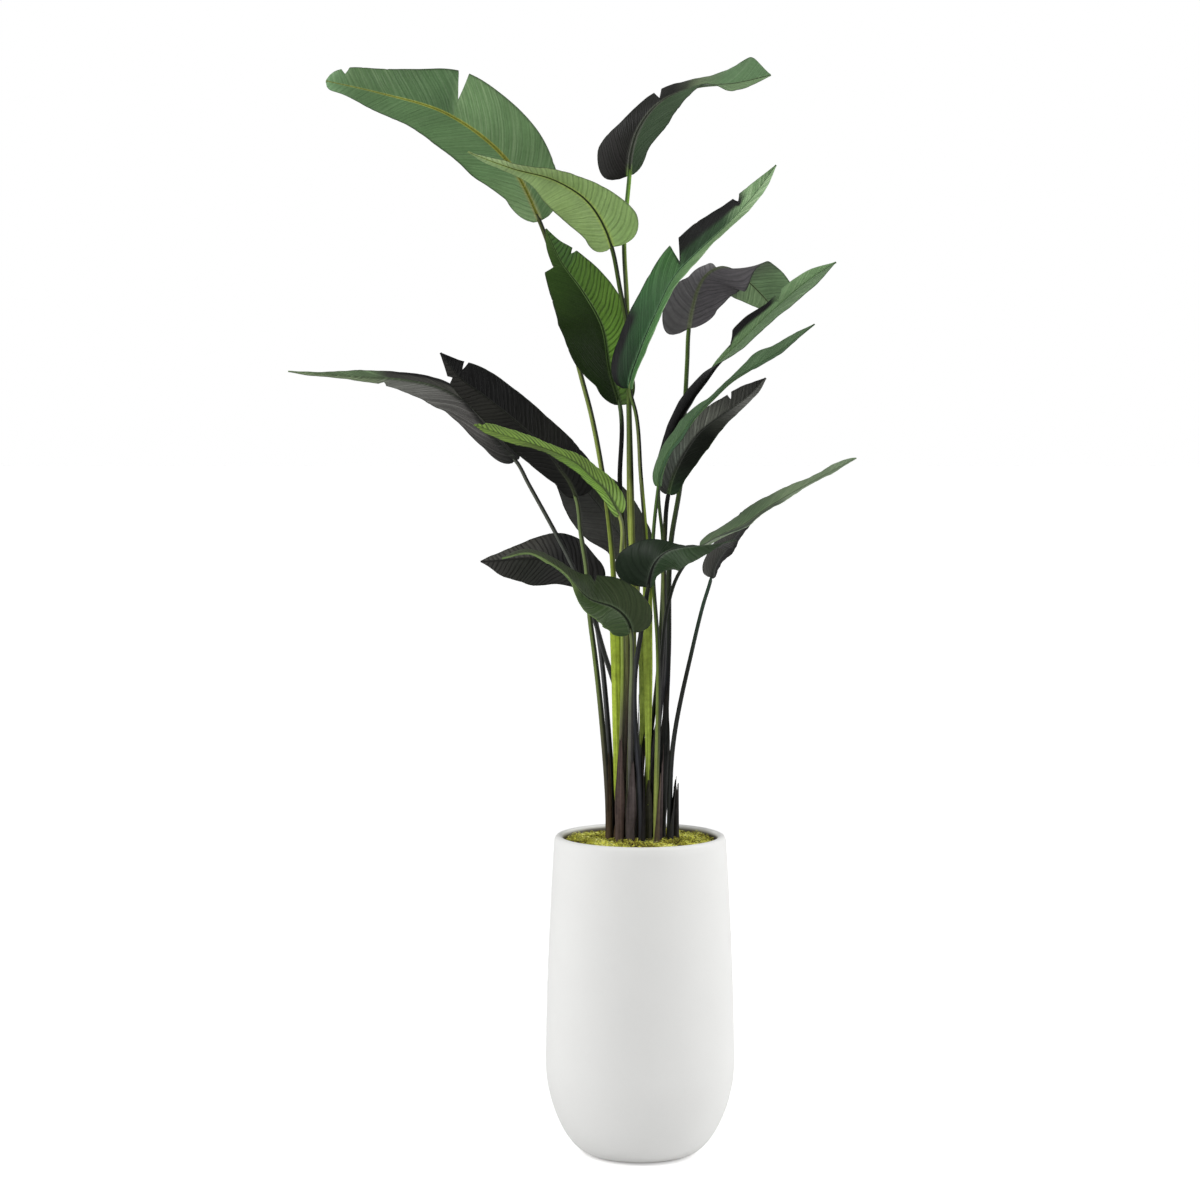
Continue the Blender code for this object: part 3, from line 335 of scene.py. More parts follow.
        tears=[("right", .95, .4)]),
    "frond_dark_left": dict(
        foot=(-.062, -.012),
        stem=[(-.075, -.004, .853), (-.09, .014, .988), (-.098, .024, 1.048), (-.106, .04, 1.153),
              (-.116, .055, 1.213)],
        rib=[(-.126, .072, 1.285, 180, 30), (-.138, .074, 1.313, 180, 30), (-.157, .076, 1.34, 180, 30),
             (-.179, .078, 1.37, 180, 30), (-.248, .08, 1.438, 180, 30), (-.303, .08, 1.482, 180, 28),
             (-.355, .08, 1.521, 180, 25), (-.392, .08, 1.568, 180, 20)],
        left=(.064, .06, .054, .054, .052, .042, .02), right=(.03, .048, .056, .05, .042, .028, .012),
        tears=[("left", .85, .55), ("right", .86, .45)]),
    "frond_far_left": dict(
        foot=(-.022, .025),
        stem=[(-.045, .03, .9), (-.071, .04, .983), (-.088, .048, 1.041), (-.138, .066, 1.161), (-.165, .08, 1.212),
              (-.221, .108, 1.312)],
        rib=[(-.245, .12, 1.355, 130, 10), (-.275, .122, 1.383, 128, 10), (-.303, .124, 1.414, 126, 10),
             (-.328, .125, 1.446, 124, 10), (-.354, .126, 1.474, 122, 10), (-.395, .127, 1.497, 120, 10),
             (-.461, .128, 1.513, 120, 10), (-.554, .13, 1.52, 118, 8), (-.697, .135, 1.532, 110, 5)],
        left=(.05, .052, .046, .05, .046, .026, .012), right=(.034, .048, .054, .038, .014, .01, .008),
        tears=[("right", .62, .5)]),
    "frond_behind_stems": dict(
        foot=(-.011, .001), stem=[(-.014, .05, .984)],
        rib=[(-.015, .11, 1.167, 180, 15), (-.049, .125, 1.222, 180, 18), (-.094, .135, 1.282, 180, 20),
             (-.146, .142, 1.337, 180, 20), (-.198, .148, 1.383, 180, 15)],
        left=(.06, .066, .065, .054, .046, .03, .014), right=(.041, .062, .068, .06, .044, .026, .014)),
    "frond_low_left_dark": dict(
        foot=(-.054, .007), stem=[(-.064, .03, .851), (-.078, .062, .987), (-.087, .08, 1.043)],
        rib=[(-.098, .094, 1.099, 180, 10), (-.138, .114, 1.135, 180, 14), (-.174, .132, 1.153, 180, 16),
             (-.208, .146, 1.16, 180, 18), (-.248, .157, 1.159, 180, 18), (-.284, .163, 1.155, 180, 16),
             (-.318, .168, 1.153, 180, 12)],
        left=(.054, .066, .064, .048, .03, .018, .01), right=(.02, .034, .052, .058, .05, .034, .014)),
}

# Looks of the fronds. top and under hold the left and the right half: one colour, or stops (share along the
# rib, colour). They hold the leaf's own colours with painted shade and painted sheen in them: a half that the
# light misses is painted darker, a glossy part paler. rib and rib_under colour the raised borders and the keel,
# and channel the channel between the borders. edges colour the two margins. patches paint shade: face, half,
# shares along the rib where it starts and ends, share out to the margin where it starts, colour. pleats and
# streaks say how much these show on each half; the streaks are painted sheen. lean says how far the veins run
# ahead, and curve how fast they bend. stem: height, colour of the left side, colour of the right side, as the
# viewer sees them: the stem's own colour with painted light on one side and painted shade on the other.
LOOKS = {
    "frond_top_left": dict(
        slot="leaf_green",
        top=([(0, (124, 154, 106)), (.22, (92, 124, 80)), (.9, (88, 118, 78)), (1, (116, 154, 108))],
             [(0, (88, 116, 76)), (.15, (92, 122, 80)), (.5, (106, 138, 92)), (.53, (78, 108, 70)),
              (.9, (88, 118, 76)), (1, (116, 154, 108))]),
        under=((66, 76, 66), (66, 76, 66)),
        rib=[(0, (150, 160, 112)), (.3, (140, 142, 54)), (.6, (164, 172, 74)), (1, (110, 140, 100))],
        channel=(118, 122, 42), pleats=(.45, .35), streaks=(.12, .3), lean=(.5, .5), curve=(3, 2),
        stem=[(.6, (84, 68, 56), (50, 42, 36)), (.68, (104, 90, 52), (60, 50, 36)),
              (.74, (176, 194, 64), (140, 158, 50)), (.95, (176, 194, 66), (120, 132, 48)),
              (1.2, (134, 150, 66), (44, 50, 32)), (1.45, (128, 144, 74), (40, 44, 30)),
              (1.75, (84, 92, 56), (30, 34, 26))]),
    "frond_top_middle": dict(
        slot="leaf_light",
        top=([(0, (140, 168, 102)), (.4, (134, 161, 96)), (.7, (144, 171, 110)), (1, (132, 156, 108))],
             [(0, (152, 186, 112)), (.4, (143, 173, 104)), (.7, (160, 184, 122)), (1, (172, 198, 138))]),
        under=((92, 112, 74), (92, 112, 74)), rib=(172, 196, 100), channel=(28, 38, 12), pleats=(.4, .8),
        streaks=(.2, .3), lean=(.2, .2), curve=(4, 6),
        stem=[(.6, (60, 56, 54), (36, 34, 34)), (.78, (92, 94, 62), (44, 44, 38)),
              (.9, (156, 172, 72), (96, 106, 44)), (1.05, (156, 172, 76), (92, 100, 46)),
              (1.25, (170, 186, 92), (84, 92, 44)), (1.33, (92, 100, 52), (20, 22, 14)),
              (1.45, (84, 102, 48), (50, 60, 34)), (1.68, (66, 84, 38), (26, 32, 22))]),
    "frond_top_right": dict(
        slot="leaf_green",
        top=([(0, (33, 32, 30)), (.3, (42, 43, 40)), (.5, (36, 37, 34)), (.56, (56, 63, 49)), (.62, (106, 124, 90)),
              (.75, (100, 131, 92))],
             [(0, (44, 62, 40)), (.45, (52, 72, 46)), (.6, (70, 92, 62)), (.8, (118, 146, 104))]),
        under=([(.6, (60, 62, 56)), (.75, (104, 142, 90))], [(.6, (60, 62, 56)), (.75, (106, 148, 92))]),
        rib=[(0, (126, 166, 70)), (.07, (92, 94, 86)), (.5, (84, 92, 76)), (1, (112, 142, 96))], channel=(52, 58, 46),
        pleats=(.2, .4), streaks=(.2, .2), lean=(1, 1.2), curve=(2, 2),
        stem=[(.6, (52, 52, 50), (34, 34, 34)), (.8, (72, 76, 64), (44, 46, 40)),
              (.92, (150, 166, 60), (130, 146, 54)), (1.2, (158, 172, 80), (118, 124, 84)),
              (1.42, (70, 84, 44), (124, 142, 66)), (1.75, (48, 58, 36), (112, 134, 62)),
              (1.85, (74, 110, 44), (120, 160, 62))]),
    "frond_centre_left": dict(
        slot="leaf_green",
        top=([(0, (18, 34, 6)), (.45, (28, 46, 10)), (.75, (48, 72, 28)), (1, (70, 96, 46))],
             [(0, (60, 82, 36)), (.2, (98, 142, 46)), (.5, (88, 124, 46)), (.8, (72, 106, 42)), (1, (70, 104, 44))]),
        under=((50, 62, 44), (50, 62, 44)), patches=[("top", "right", .78, 1, 0, (62, 94, 42))],
        rib=[(0, (62, 76, 44)), (.3, (72, 96, 48)), (.6, (112, 142, 84)), (1, (86, 116, 62))], channel=(44, 62, 28),
        pleats=(.2, 1.6), streaks=(.1, .1), lean=(.9, 0), curve=(3, 9),
        stem=[(.6, (80, 66, 60), (40, 34, 32)), (.85, (94, 84, 76), (56, 50, 46)), (1, (124, 128, 78), (64, 62, 52)),
              (1.15, (160, 172, 108), (104, 112, 56)), (1.24, (84, 94, 50), (36, 40, 28)),
              (1.28, (16, 18, 12), (12, 12, 14)), (1.42, (22, 24, 18), (12, 12, 14)),
              (1.46, (84, 104, 66), (48, 60, 40))]),
    "frond_centre_right": dict(
        slot="leaf_green",
        top=([(0, (16, 38, 18)), (.12, (24, 54, 26)), (.3, (42, 82, 42)), (.47, (56, 96, 50)), (.52, (30, 54, 30)),
              (.72, (38, 66, 36)), (.84, (126, 160, 112)), (1, (84, 116, 70))],
             [(0, (56, 98, 50)), (.35, (76, 118, 68)), (.7, (112, 142, 98)), (.9, (134, 166, 120))]),
        under=([(0, (40, 56, 40)), (1, (64, 107, 77))], [(0, (40, 56, 40)), (1, (64, 107, 77))]),
        patches=[("top", "left", 0, .2, .66, (8, 10, 10)), ("top", "left", .5, .8, .42, (8, 9, 8))],
        rib=[(0, (70, 108, 68)), (.5, (88, 128, 88)), (1, (126, 160, 112))], edges=((24, 30, 24), (140, 176, 124)),
        pleats=(.3, .4), streaks=(.7, .6), lean=(1.5, 1.3), curve=(2, 2),
        stem=[(.6, (66, 76, 46), (44, 44, 34)), (.75, (110, 124, 62), (84, 92, 48)),
              (.84, (150, 168, 72), (120, 134, 56)), (1, (160, 180, 72), (140, 160, 54)),
              (1.15, (34, 38, 22), (148, 172, 56)), (1.28, (26, 30, 16), (132, 152, 66)),
              (1.33, (110, 120, 72), (16, 18, 12)), (1.4, (96, 104, 64), (12, 13, 10)),
              (1.46, (84, 104, 52), (22, 26, 16))]),
    "frond_upper_right": dict(
        slot="leaf_dark",
        top=([(.5, (100, 100, 98)), (.62, (96, 108, 88)), (.76, (122, 152, 110))],
             [(.5, (94, 93, 94)), (.62, (96, 106, 90)), (.76, (132, 160, 116))]),
        under=([(.45, (88, 85, 88)), (.62, (68, 68, 66)), (.9, (86, 96, 80))],
               [(0, (98, 96, 97)), (.35, (106, 104, 106)), (.62, (90, 90, 86)), (.9, (86, 96, 80))]),
        rib=(132, 152, 108), rib_under=[(0, (92, 98, 74)), (.6, (74, 82, 60)), (1, (100, 120, 84))], pleats=(.6, .6),
        streaks=(.3, .3), lean=(.3, .3), curve=(3, 3),
        stem=[(.6, (44, 44, 50), (24, 24, 26)), (.9, (52, 52, 58), (26, 26, 28)), (1.1, (50, 58, 42), (28, 32, 24)),
              (1.3, (72, 92, 46), (42, 52, 32)), (1.45, (90, 116, 52), (48, 62, 36))]),
    "frond_long_right": dict(
        slot="leaf_green", under_slot="leaf_dark",
        top=([(.26, (16, 18, 16)), (.34, (118, 156, 100)), (.7, (128, 164, 112)), (1, (136, 174, 120))],
             [(.26, (16, 18, 16)), (.34, (128, 162, 116)), (1, (122, 153, 110))]),
        under=((8, 8, 8), (9, 9, 9)), patches=[("top", "left", .535, .72, .42, (6, 6, 7))],
        rib=[(.3, (60, 80, 54)), (.4, (126, 156, 104)), (1, (96, 130, 84))], rib_under=(14, 15, 13),
        channel=(104, 138, 90), edges=((70, 96, 62), (44, 60, 40)), pleats=(.3, .3), streaks=(.3, .3),
        lean=(1.2, 1.2), curve=(2, 2),
        stem=[(.6, (52, 52, 50), (34, 34, 34)), (1, (64, 72, 48), (36, 40, 30)), (1.2, (70, 98, 40), (34, 44, 24))]),
    "frond_narrow_right": dict(
        slot="leaf_green",
        top=([(0, (88, 121, 80)), (.3, (75, 105, 70)), (1, (92, 120, 84))],
             [(0, (54, 88, 58)), (.4, (62, 96, 62)), (1, (84, 110, 78))]),
        under=([(0, (75, 92, 68)), (1, (60, 84, 54))], [(0, (75, 92, 68)), (.7, (80, 104, 70)), (1, (50, 72, 46))]),
        rib=(72, 100, 62), channel=(56, 84, 50), pleats=(.4, .4), streaks=(.3, .3), lean=(1, 1), curve=(2, 2),
        stem=[(.6, (150, 160, 84), (120, 130, 60)), (.7, (156, 168, 88), (120, 132, 62)),
              (.8, (140, 156, 80), (70, 76, 46)), (.9, (126, 146, 72), (44, 48, 34)),
              (1.1, (84, 106, 48), (34, 42, 26)), (1.3, (80, 110, 54), (40, 54, 30))]),
    "frond_dark_right": dict(
        slot="leaf_dark", top=((76, 98, 50), (30, 33, 24)),
        under=([(0, (36, 56, 34)), (.1, (26, 36, 24)), (.22, (20, 24, 17)), (.45, (24, 28, 22)), (.58, (56, 58, 52)),
                (.8, (118, 118, 114)), (1, (76, 78, 72))],
               [(0, (40, 40, 38)), (.25, (84, 90, 82)), (.5, (104, 106, 98)), (.7, (72, 72, 68)), (1, (36, 36, 34))]),
        rib=(150, 156, 140), rib_under=[(0, (60, 78, 44)), (.2, (50, 52, 46)), (.6, (44, 46, 42)), (1, (90, 90, 86))],
        edges=((84, 104, 70), (30, 31, 28)), pleats=(.4, 1.1), streaks=(.2, .9), lean=(.6, .6), curve=(3, 3),
        stem=[(.6, (66, 60, 64), (34, 32, 34)), (.85, (92, 90, 94), (52, 50, 54)), (1, (102, 102, 98), (56, 56, 56)),
              (1.12, (128, 142, 84), (26, 28, 22)), (1.25, (16, 17, 15), (14, 14, 14))]),
    "frond_low_right_dark": dict(
        slot="leaf_dark", top=((60, 72, 56), (60, 72, 56)),
        under=((16, 16, 14), [(0, (60, 60, 56)), (1, (54, 54, 50))]), rib=(84, 92, 80), rib_under=(66, 68, 64),
        pleats=(.4, .4), streaks=(.15, .2), lean=(.5, .5), curve=(3, 3),
        stem=[(.6, (58, 60, 60), (28, 28, 28)), (.8, (60, 64, 60), (26, 27, 26)), (.95, (42, 44, 40), (22, 23, 20)),
              (1.08, (60, 84, 66), (34, 46, 38))]),
    "frond_low_right_green": dict(
        slot="leaf_green",
        top=([(0, (101, 121, 90)), (.35, (98, 121, 88)), (.6, (129, 150, 114)), (1, (142, 166, 130))],
             [(0, (69, 78, 66)), (.45, (84, 96, 78)), (.55, (140, 160, 128)), (1, (119, 140, 107))]),
        under=((128, 138, 130), (140, 148, 142)), rib=(126, 144, 112), edges=((70, 84, 60), (158, 178, 148)),
        pleats=(.25, .25), streaks=(.25, .25), lean=(1.2, 1.2), curve=(2, 2),
        stem=[(.6, (42, 42, 42), (26, 26, 26)), (.95, (52, 52, 52), (28, 28, 28)),
              (1.1, (44, 50, 40), (30, 34, 28))]),
    "frond_front_right": dict(
        slot="leaf_green",
        top=([(0, (28, 40, 27)), (.4, (31, 45, 28)), (.6, (50, 60, 50))],
             [(0, (46, 68, 42)), (.7, (46, 64, 40)), (1, (44, 50, 41))]),
        under=((43, 44, 40), (38, 45, 38)), rib=[(0, (50, 58, 48)), (.3, (84, 96, 80)), (1, (84, 98, 78))],
        channel=(16, 18, 16), edges=((28, 36, 26), (60, 78, 56)), pleats=(.5, .6), streaks=(.15, .25), lean=(.2, .5),
        curve=(3, 3),
        stem=[(.6, (48, 48, 52), (28, 28, 30)), (.9, (74, 76, 82), (40, 41, 44)),
              (1.06, (52, 56, 48), (26, 28, 24))]),
    "frond_front_left": dict(
        slot="leaf_green",
        top=([(0, (51, 72, 37)), (.45, (56, 75, 40)), (.57, (112, 134, 78)), (1, (106, 126, 74))],
             [(0, (54, 66, 40)), (.45, (46, 60, 34)), (.57, (44, 54, 34)), (1, (72, 78, 62))]),
        under=((90, 114, 78), (74, 92, 66)), rib=[(0, (78, 94, 68)), (.4, (72, 88, 58)), (1, (110, 140, 76))],
        edges=((116, 146, 84), (30, 40, 26)), pleats=(.5, .5), streaks=(.25, .2), lean=(.6, .6), curve=(3, 3),
        stem=[(.6, (60, 58, 56), (34, 32, 32)), (.85, (100, 100, 92), (52, 50, 50)),
              (.98, (120, 134, 84), (58, 62, 48))]),
    "frond_light_left": dict(
        slot="leaf_light",
        top=([(0, (128, 166, 70)), (.35, (116, 158, 56)), (.6, (92, 112, 44)), (.8, (116, 146, 56))],
             [(0, (132, 170, 72)), (.35, (106, 134, 56)), (.6, (130, 164, 72)), (1, (124, 154, 68))]),
        under=((96, 130, 66), (96, 130, 66)), rib=[(0, (60, 78, 30)), (.5, (80, 104, 44)), (1, (90, 120, 50))],
        edges=((66, 88, 34), (150, 190, 104)), pleats=(2, 2.3), streaks=(.2, .2), lean=(.7, .7), curve=(5, 5),
        stem=[(.6, (72, 66, 62), (40, 36, 36)), (.85, (104, 104, 76), (62, 60, 50)),
              (.95, (140, 160, 66), (86, 92, 50)), (1.15, (160, 174, 96), (96, 102, 72))]),
    "frond_dark_left": dict(
        slot="leaf_dark", top=((28, 28, 28), (32, 33, 30)),
        under=([(0, (32, 32, 31)), (.3, (31, 31, 28)), (.6, (25, 25, 25)), (1, (24, 24, 24))],
               [(0, (24, 24, 22)), (.4, (25, 25, 23)), (.6, (42, 42, 38)), (1, (46, 45, 43))]),
        rib=(76, 96, 60), rib_under=[(0, (60, 68, 44)), (.2, (40, 42, 36)), (1, (28, 29, 27))], pleats=(1.1, 1.1),
        streaks=(.12, .12), lean=(.4, .4), curve=(3, 3),
        stem=[(.6, (70, 58, 54), (34, 28, 28)), (.8, (82, 80, 62), (42, 44, 36)), (.95, (104, 120, 64), (36, 42, 30)),
              (1.2, (112, 130, 80), (44, 48, 34))]),
    "frond_far_left": dict(
        slot="leaf_dark",
        top=([(.6, (21, 20, 22)), (.66, (100, 125, 86))], [(.6, (21, 20, 22)), (.66, (100, 125, 86))]),
        under=([(0, (16, 16, 16)), (.2, (62, 62, 57)), (.6, (60, 60, 56)), (.66, (91, 111, 80))],
               [(0, (35, 36, 35)), (.18, (96, 94, 92)), (.45, (108, 108, 104)), (.6, (104, 106, 100)),
                (.66, (112, 126, 98))]),
        patches=[("under", "left", 0, .55, .8, (24, 24, 24))], rib=(110, 124, 92),
        rib_under=[(0, (44, 46, 42)), (.3, (40, 40, 38)), (1, (96, 116, 82))], pleats=(.5, .5), streaks=(1, 1.2),
        lean=(1.4, 1.6), curve=(2, 2),
        stem=[(.6, (44, 44, 44), (26, 26, 26)), (1, (70, 72, 72), (30, 31, 30)), (1.3, (88, 92, 82), (34, 36, 32))]),
    "frond_behind_stems": dict(
        slot="leaf_dark", top=((60, 76, 54), (60, 76, 54)),
        under=([(0, (71, 74, 69)), (.3, (58, 60, 50)), (.6, (56, 58, 54)), (1, (74, 77, 70))],
               [(0, (70, 74, 62)), (.15, (62, 62, 59)), (1, (60, 62, 60))]),
        rib=(60, 64, 56), rib_under=(50, 52, 48), pleats=(.4, .4), streaks=(.1, .1), lean=(.4, .4), curve=(3, 3),
        stem=[(.6, (26, 25, 24), (18, 18, 18)), (1.1, (46, 50, 42), (30, 32, 28))]),
    "frond_low_left_dark": dict(
        slot="leaf_dark", top=((60, 78, 54), (60, 78, 54)),
        under=([(0, (34, 33, 31)), (.35, (36, 36, 36)), (.6, (74, 73, 68)), (1, (84, 84, 79))],
               [(0, (33, 36, 30)), (.3, (41, 41, 39)), (.6, (48, 50, 45)), (1, (72, 71, 68))]),
        rib=(58, 64, 54), rib_under=[(0, (52, 56, 48)), (.4, (30, 31, 28)), (1, (40, 40, 38))], pleats=(1.6, 1.6),
        streaks=(.2, .2), lean=(.4, .4), curve=(3, 3),
        stem=[(.6, (54, 52, 54), (26, 26, 26)), (1.04, (70, 72, 72), (28, 30, 28))]),
}

# Sheaths round the feet of the stems: name, frond, height of the base and of the torn point, turn about the
# stem, half of the angle that it covers, how far it stands off, colour of its outside
SHEATHS = [
    ("centre_left", "frond_centre_left", 0.600, 0.800, -90, 120, 1.8, (84, 70, 62)),
    ("top_left", "frond_top_left", 0.600, 0.670, 0, 130, 1.0, (86, 70, 56)),
    ("light_left", "frond_light_left", 0.600, 0.835, 10, 110, 1.5, (84, 70, 66)),
    ("centre_right", "frond_centre_right", 0.600, 0.740, -10, 120, 1.6, (66, 66, 56)),
    ("dark_right", "frond_dark_right", 0.600, 0.930, -90, 125, 1.6, (44, 42, 42)),
    ("front_left", "frond_front_left", 0.600, 0.780, -20, 120, 2.0, (82, 74, 74)),
    ("top_right", "frond_top_right", 0.600, 0.930, -90, 125, 1.8, (66, 60, 56)),
    ("narrow_right", "frond_narrow_right", 0.600, 0.755, -70, 115, 0.8, (88, 76, 62)),
    ("dark_left", "frond_dark_left", 0.600, 0.790, -60, 130, 1.0, (96, 80, 66)),
    ("front_right", "frond_front_right", 0.600, 0.800, -90, 120, 1.8, (40, 38, 40)),
    ("low_right_green", "frond_low_right_green", 0.600, 0.820, -80, 130, 2.0, (80, 70, 70)),
    ("upper_right", "frond_upper_right", 0.600, 0.920, -90, 150, 3.6, (48, 50, 48)),
    ("low_right_dark", "frond_low_right_dark", 0.600, 0.745, -100, 140, 2.6, (44, 44, 44)),
    ("behind_stems", "frond_behind_stems", 0.600, 0.900, -90, 140, 2.6, (20, 19, 19)),
    ("long_right", "frond_long_right", 0.600, 0.985, -90, 140, 3.2, (30, 28, 28)),
    ("wedge_left", "frond_top_left", 1.075, 0.655, 30, 120, 2.3, (160, 180, 62)),
    ("wedge_middle", "frond_top_right", 1.000, 0.800, 0, 125, 1.6, (136, 154, 68)),
    ("wedge_right", "frond_centre_right", 1.130, 0.690, 0, 125, 1.6, (150, 170, 70)),
]
SHEATH_SEED = 5
SHEATH_ROWS = 26
SHEATH_COLUMNS = 17
SHEATH_THICKNESS = 0.0008
SHEATH_STANDOFF = 0.0012
SHEATH_POINT = 0.62
SHEATH_POINT_CURVE = 1.3
SHEATH_RAGGED = 0.10
SHEATH_SHORTEST = 0.2
SHEATH_NARROWING = 0.35
GAP_LEAST = 0.3
GAP_AT_SIDES = 0.5
GAP_AT_POINT = 1.4
GAP_AT_BASE = 0.7
GAP_HUGGING = 0.6
FIBRE_GIRTH = 0.012
TORN_END_COLOUR = (48, 38, 28)

# Cut sheath stubs: place (x, y), height of the cut above the floor, width. STUB_TEETH is a depth, and
# STUB_RIDGES are how many there are round the stub, how deep they are and where they start.
STUBS = {
    "sheath_stub_right": dict(foot=(0.070, -0.001), top=0.728, width=0.013),
    "sheath_stub_left": dict(foot=(-0.040, 0.026), top=0.700, width=0.014),
}
STUB_COLOUR = (52, 50, 50)
STUB_ROWS = 22
STUB_COLUMNS = 28
STUB_NARROWING = 0.20
STUB_HOLLOW = 0.80
STUB_CUT_SLOPE = 0.36
STUB_TEETH = 0.01925
STUB_RIDGES = ((5, 0.05, 1.0), (11, 0.03, 0.0))


def linear(colour):
    """A colour from 0 to 255 as the light that it sends back: the usual power law of screens."""
    share = np.asarray(colour, float) / 255.0
    return np.where(share <= 0.04045, share / 12.92, ((share + 0.055) / 1.055) ** 2.4)


def normalised(vectors):
    """Unit vectors along the last axis: each vector over its length."""
    return vectors / np.linalg.norm(vectors, axis=-1, keepdims=True)


def smooth_step(low, high, value):
    """A ramp from 0 at low to 1 at high, with level ends: 3t2 - 2t3 of the clipped share t."""
    t = np.clip((value - low) / (high - low), 0, 1)
    return t * t * (3 - 2 * t)


def ramp(border, offsets, value):
    """A smooth ramp over a border, between two offsets from it."""
    return smooth_step(border + offsets[0], border + offsets[1], value)


def waves(rows, first, second):
    """The mean of a few sines. Each row gives the weights of the two values and a start."""
    return sum(np.sin(a * first + b * second + start) for a, b, start in rows) / len(rows)


def bell(value, width):
    """A bell curve: 1 at 0, and a power of e that falls with the square of the value over the width."""
    return np.exp(-(value / width) ** 2)


def cubic(t, start, end, leaving, arriving):
    """A cubic span from start to end, at shares t, with the slopes with which it leaves and arrives."""
    return ((2 * t ** 3 - 3 * t ** 2 + 1) * start + (t ** 3 - 2 * t ** 2 + t) * leaving
            + (3 * t ** 2 - 2 * t ** 3) * end + (t ** 3 - t ** 2) * arriving)


def tones_at(values, places, colours):
    """Colours read off a row of stops: straight blends of light between the two nearest stops."""
    tones = linear(colours)
    return np.stack([np.interp(values, places, tones[:, k]) for k in range(3)], -1)


def around(columns):
    """Even angles round a full turn."""
    return np.arange(columns) * 2 * math.pi / columns


def put_in_mesh(name, vertices, faces, materials, slots=None, tint=None, numbers=None, along=None):
    """Makes one mesh object from an array of places and arrays of faces, with its colour, numbers and UV values."""
    mesh = bpy.data.meshes.new(name)
    corners = np.concatenate([part.ravel() for part in faces]).astype(np.int32)
    sizes = np.concatenate([np.full(len(part), part.shape[1]) for part in faces])
    starts = (np.cumsum(sizes) - sizes).astype(np.int32)
    mesh.vertices.add(len(vertices))
    mesh.vertices.foreach_set("co", np.asarray(vertices, np.float32).ravel())
    mesh.loops.add(len(corners))
    mesh.loops.foreach_set("vertex_index", corners)
    mesh.polygons.add(len(sizes))
    mesh.polygons.foreach_set("loop_start", starts)
    for material in materials:
        mesh.materials.append(material)
    if slots is not None:
        mesh.polygons.foreach_set("material_index", slots.astype(np.int32))
    if tint is not None:
        layer = mesh.color_attributes.new("tint", "FLOAT_COLOR", "POINT")
        layer.data.foreach_set("color", np.column_stack([tint, np.ones(len(tint))]).astype(np.float32).ravel())
    for label, values in (numbers or {}).items():
        mesh.attributes.new(label, "FLOAT", "POINT").data.foreach_set("value", values.astype(np.float32))
    if along is not None:
        mesh.uv_layers.new(name="veins").data.foreach_set("uv", along[corners].astype(np.float32).ravel())
    mesh.update(calc_edges=True)
    mesh.validate()
    mesh.shade_smooth()
    piece = bpy.data.objects.new(name, mesh)
    bpy.context.scene.collection.objects.link(piece)
    return piece


def grid_quads(rows, columns, closed=False, start=0):
    """Quads over a grid of points stored row by row. A closed grid joins its last column to its first."""
    width = columns if closed else columns - 1
    row, column = np.meshgrid(np.arange(rows - 1), np.arange(width), indexing="ij")
    following = (column + 1) % columns
    low, high = row * columns, (row + 1) * columns
    return np.stack([low + column, low + following, high + following, high + column], -1).reshape(-1, 4) + start


def slab_faces(rows, columns):
    """Faces of a slab whose top grid is stored before its under grid: both grids, then a strip along each edge."""
    count = rows * columns
    row, column = np.arange(rows - 1) * columns, np.arange(columns - 1)
    last, end = row + columns - 1, (rows - 1) * columns + column
    return [grid_quads(rows, columns), grid_quads(rows, columns, start=count)[:, ::-1],
            np.stack([row, row + columns, row + columns + count, row + count], -1),
            np.stack([last, last + count, last + columns + count, last + columns], -1),
            np.stack([column, column + count, column + 1 + count, column + 1], -1),
            np.stack([end, end + 1, end + 1 + count, end + count], -1)]


def end_fans(columns, last, centre):
    """Two fans of triangles that close a tube: from the point centre to the ring at 0, and from the next to last."""
    column = np.arange(columns)
    following = (column + 1) % columns
    return [np.stack([np.full(columns, centre), column, following], -1),
            np.stack([np.full(columns, centre + 1), last + following, last + column], -1)]


def spline(points):
    """A smooth curve through points: cubic spans with chord-length tangents, sampled finely."""
    points = np.array(points, float)
    chord = np.linalg.norm(np.diff(points, axis=0)[:, :3], axis=1)
    slopes = np.empty_like(points)
    secants = np.diff(points, axis=0) / chord[:, None]
    weight = (chord[1:] / (chord[1:] + chord[:-1]))[:, None]
    slopes[1:-1] = secants[:-1] * weight + secants[1:] * (1 - weight)
    slopes[0] = secants[0]
    slopes[-1] = secants[-1]
    t = np.linspace(0, 1, PATH_SAMPLES, endpoint=False)[None, :, None]
    reach = chord[:, None, None]
    spans = cubic(t, points[:-1, None], points[1:, None], slopes[:-1, None] * reach, slopes[1:, None] * reach)
    return np.concatenate([spans.reshape(-1, points.shape[1]), points[-1:]])


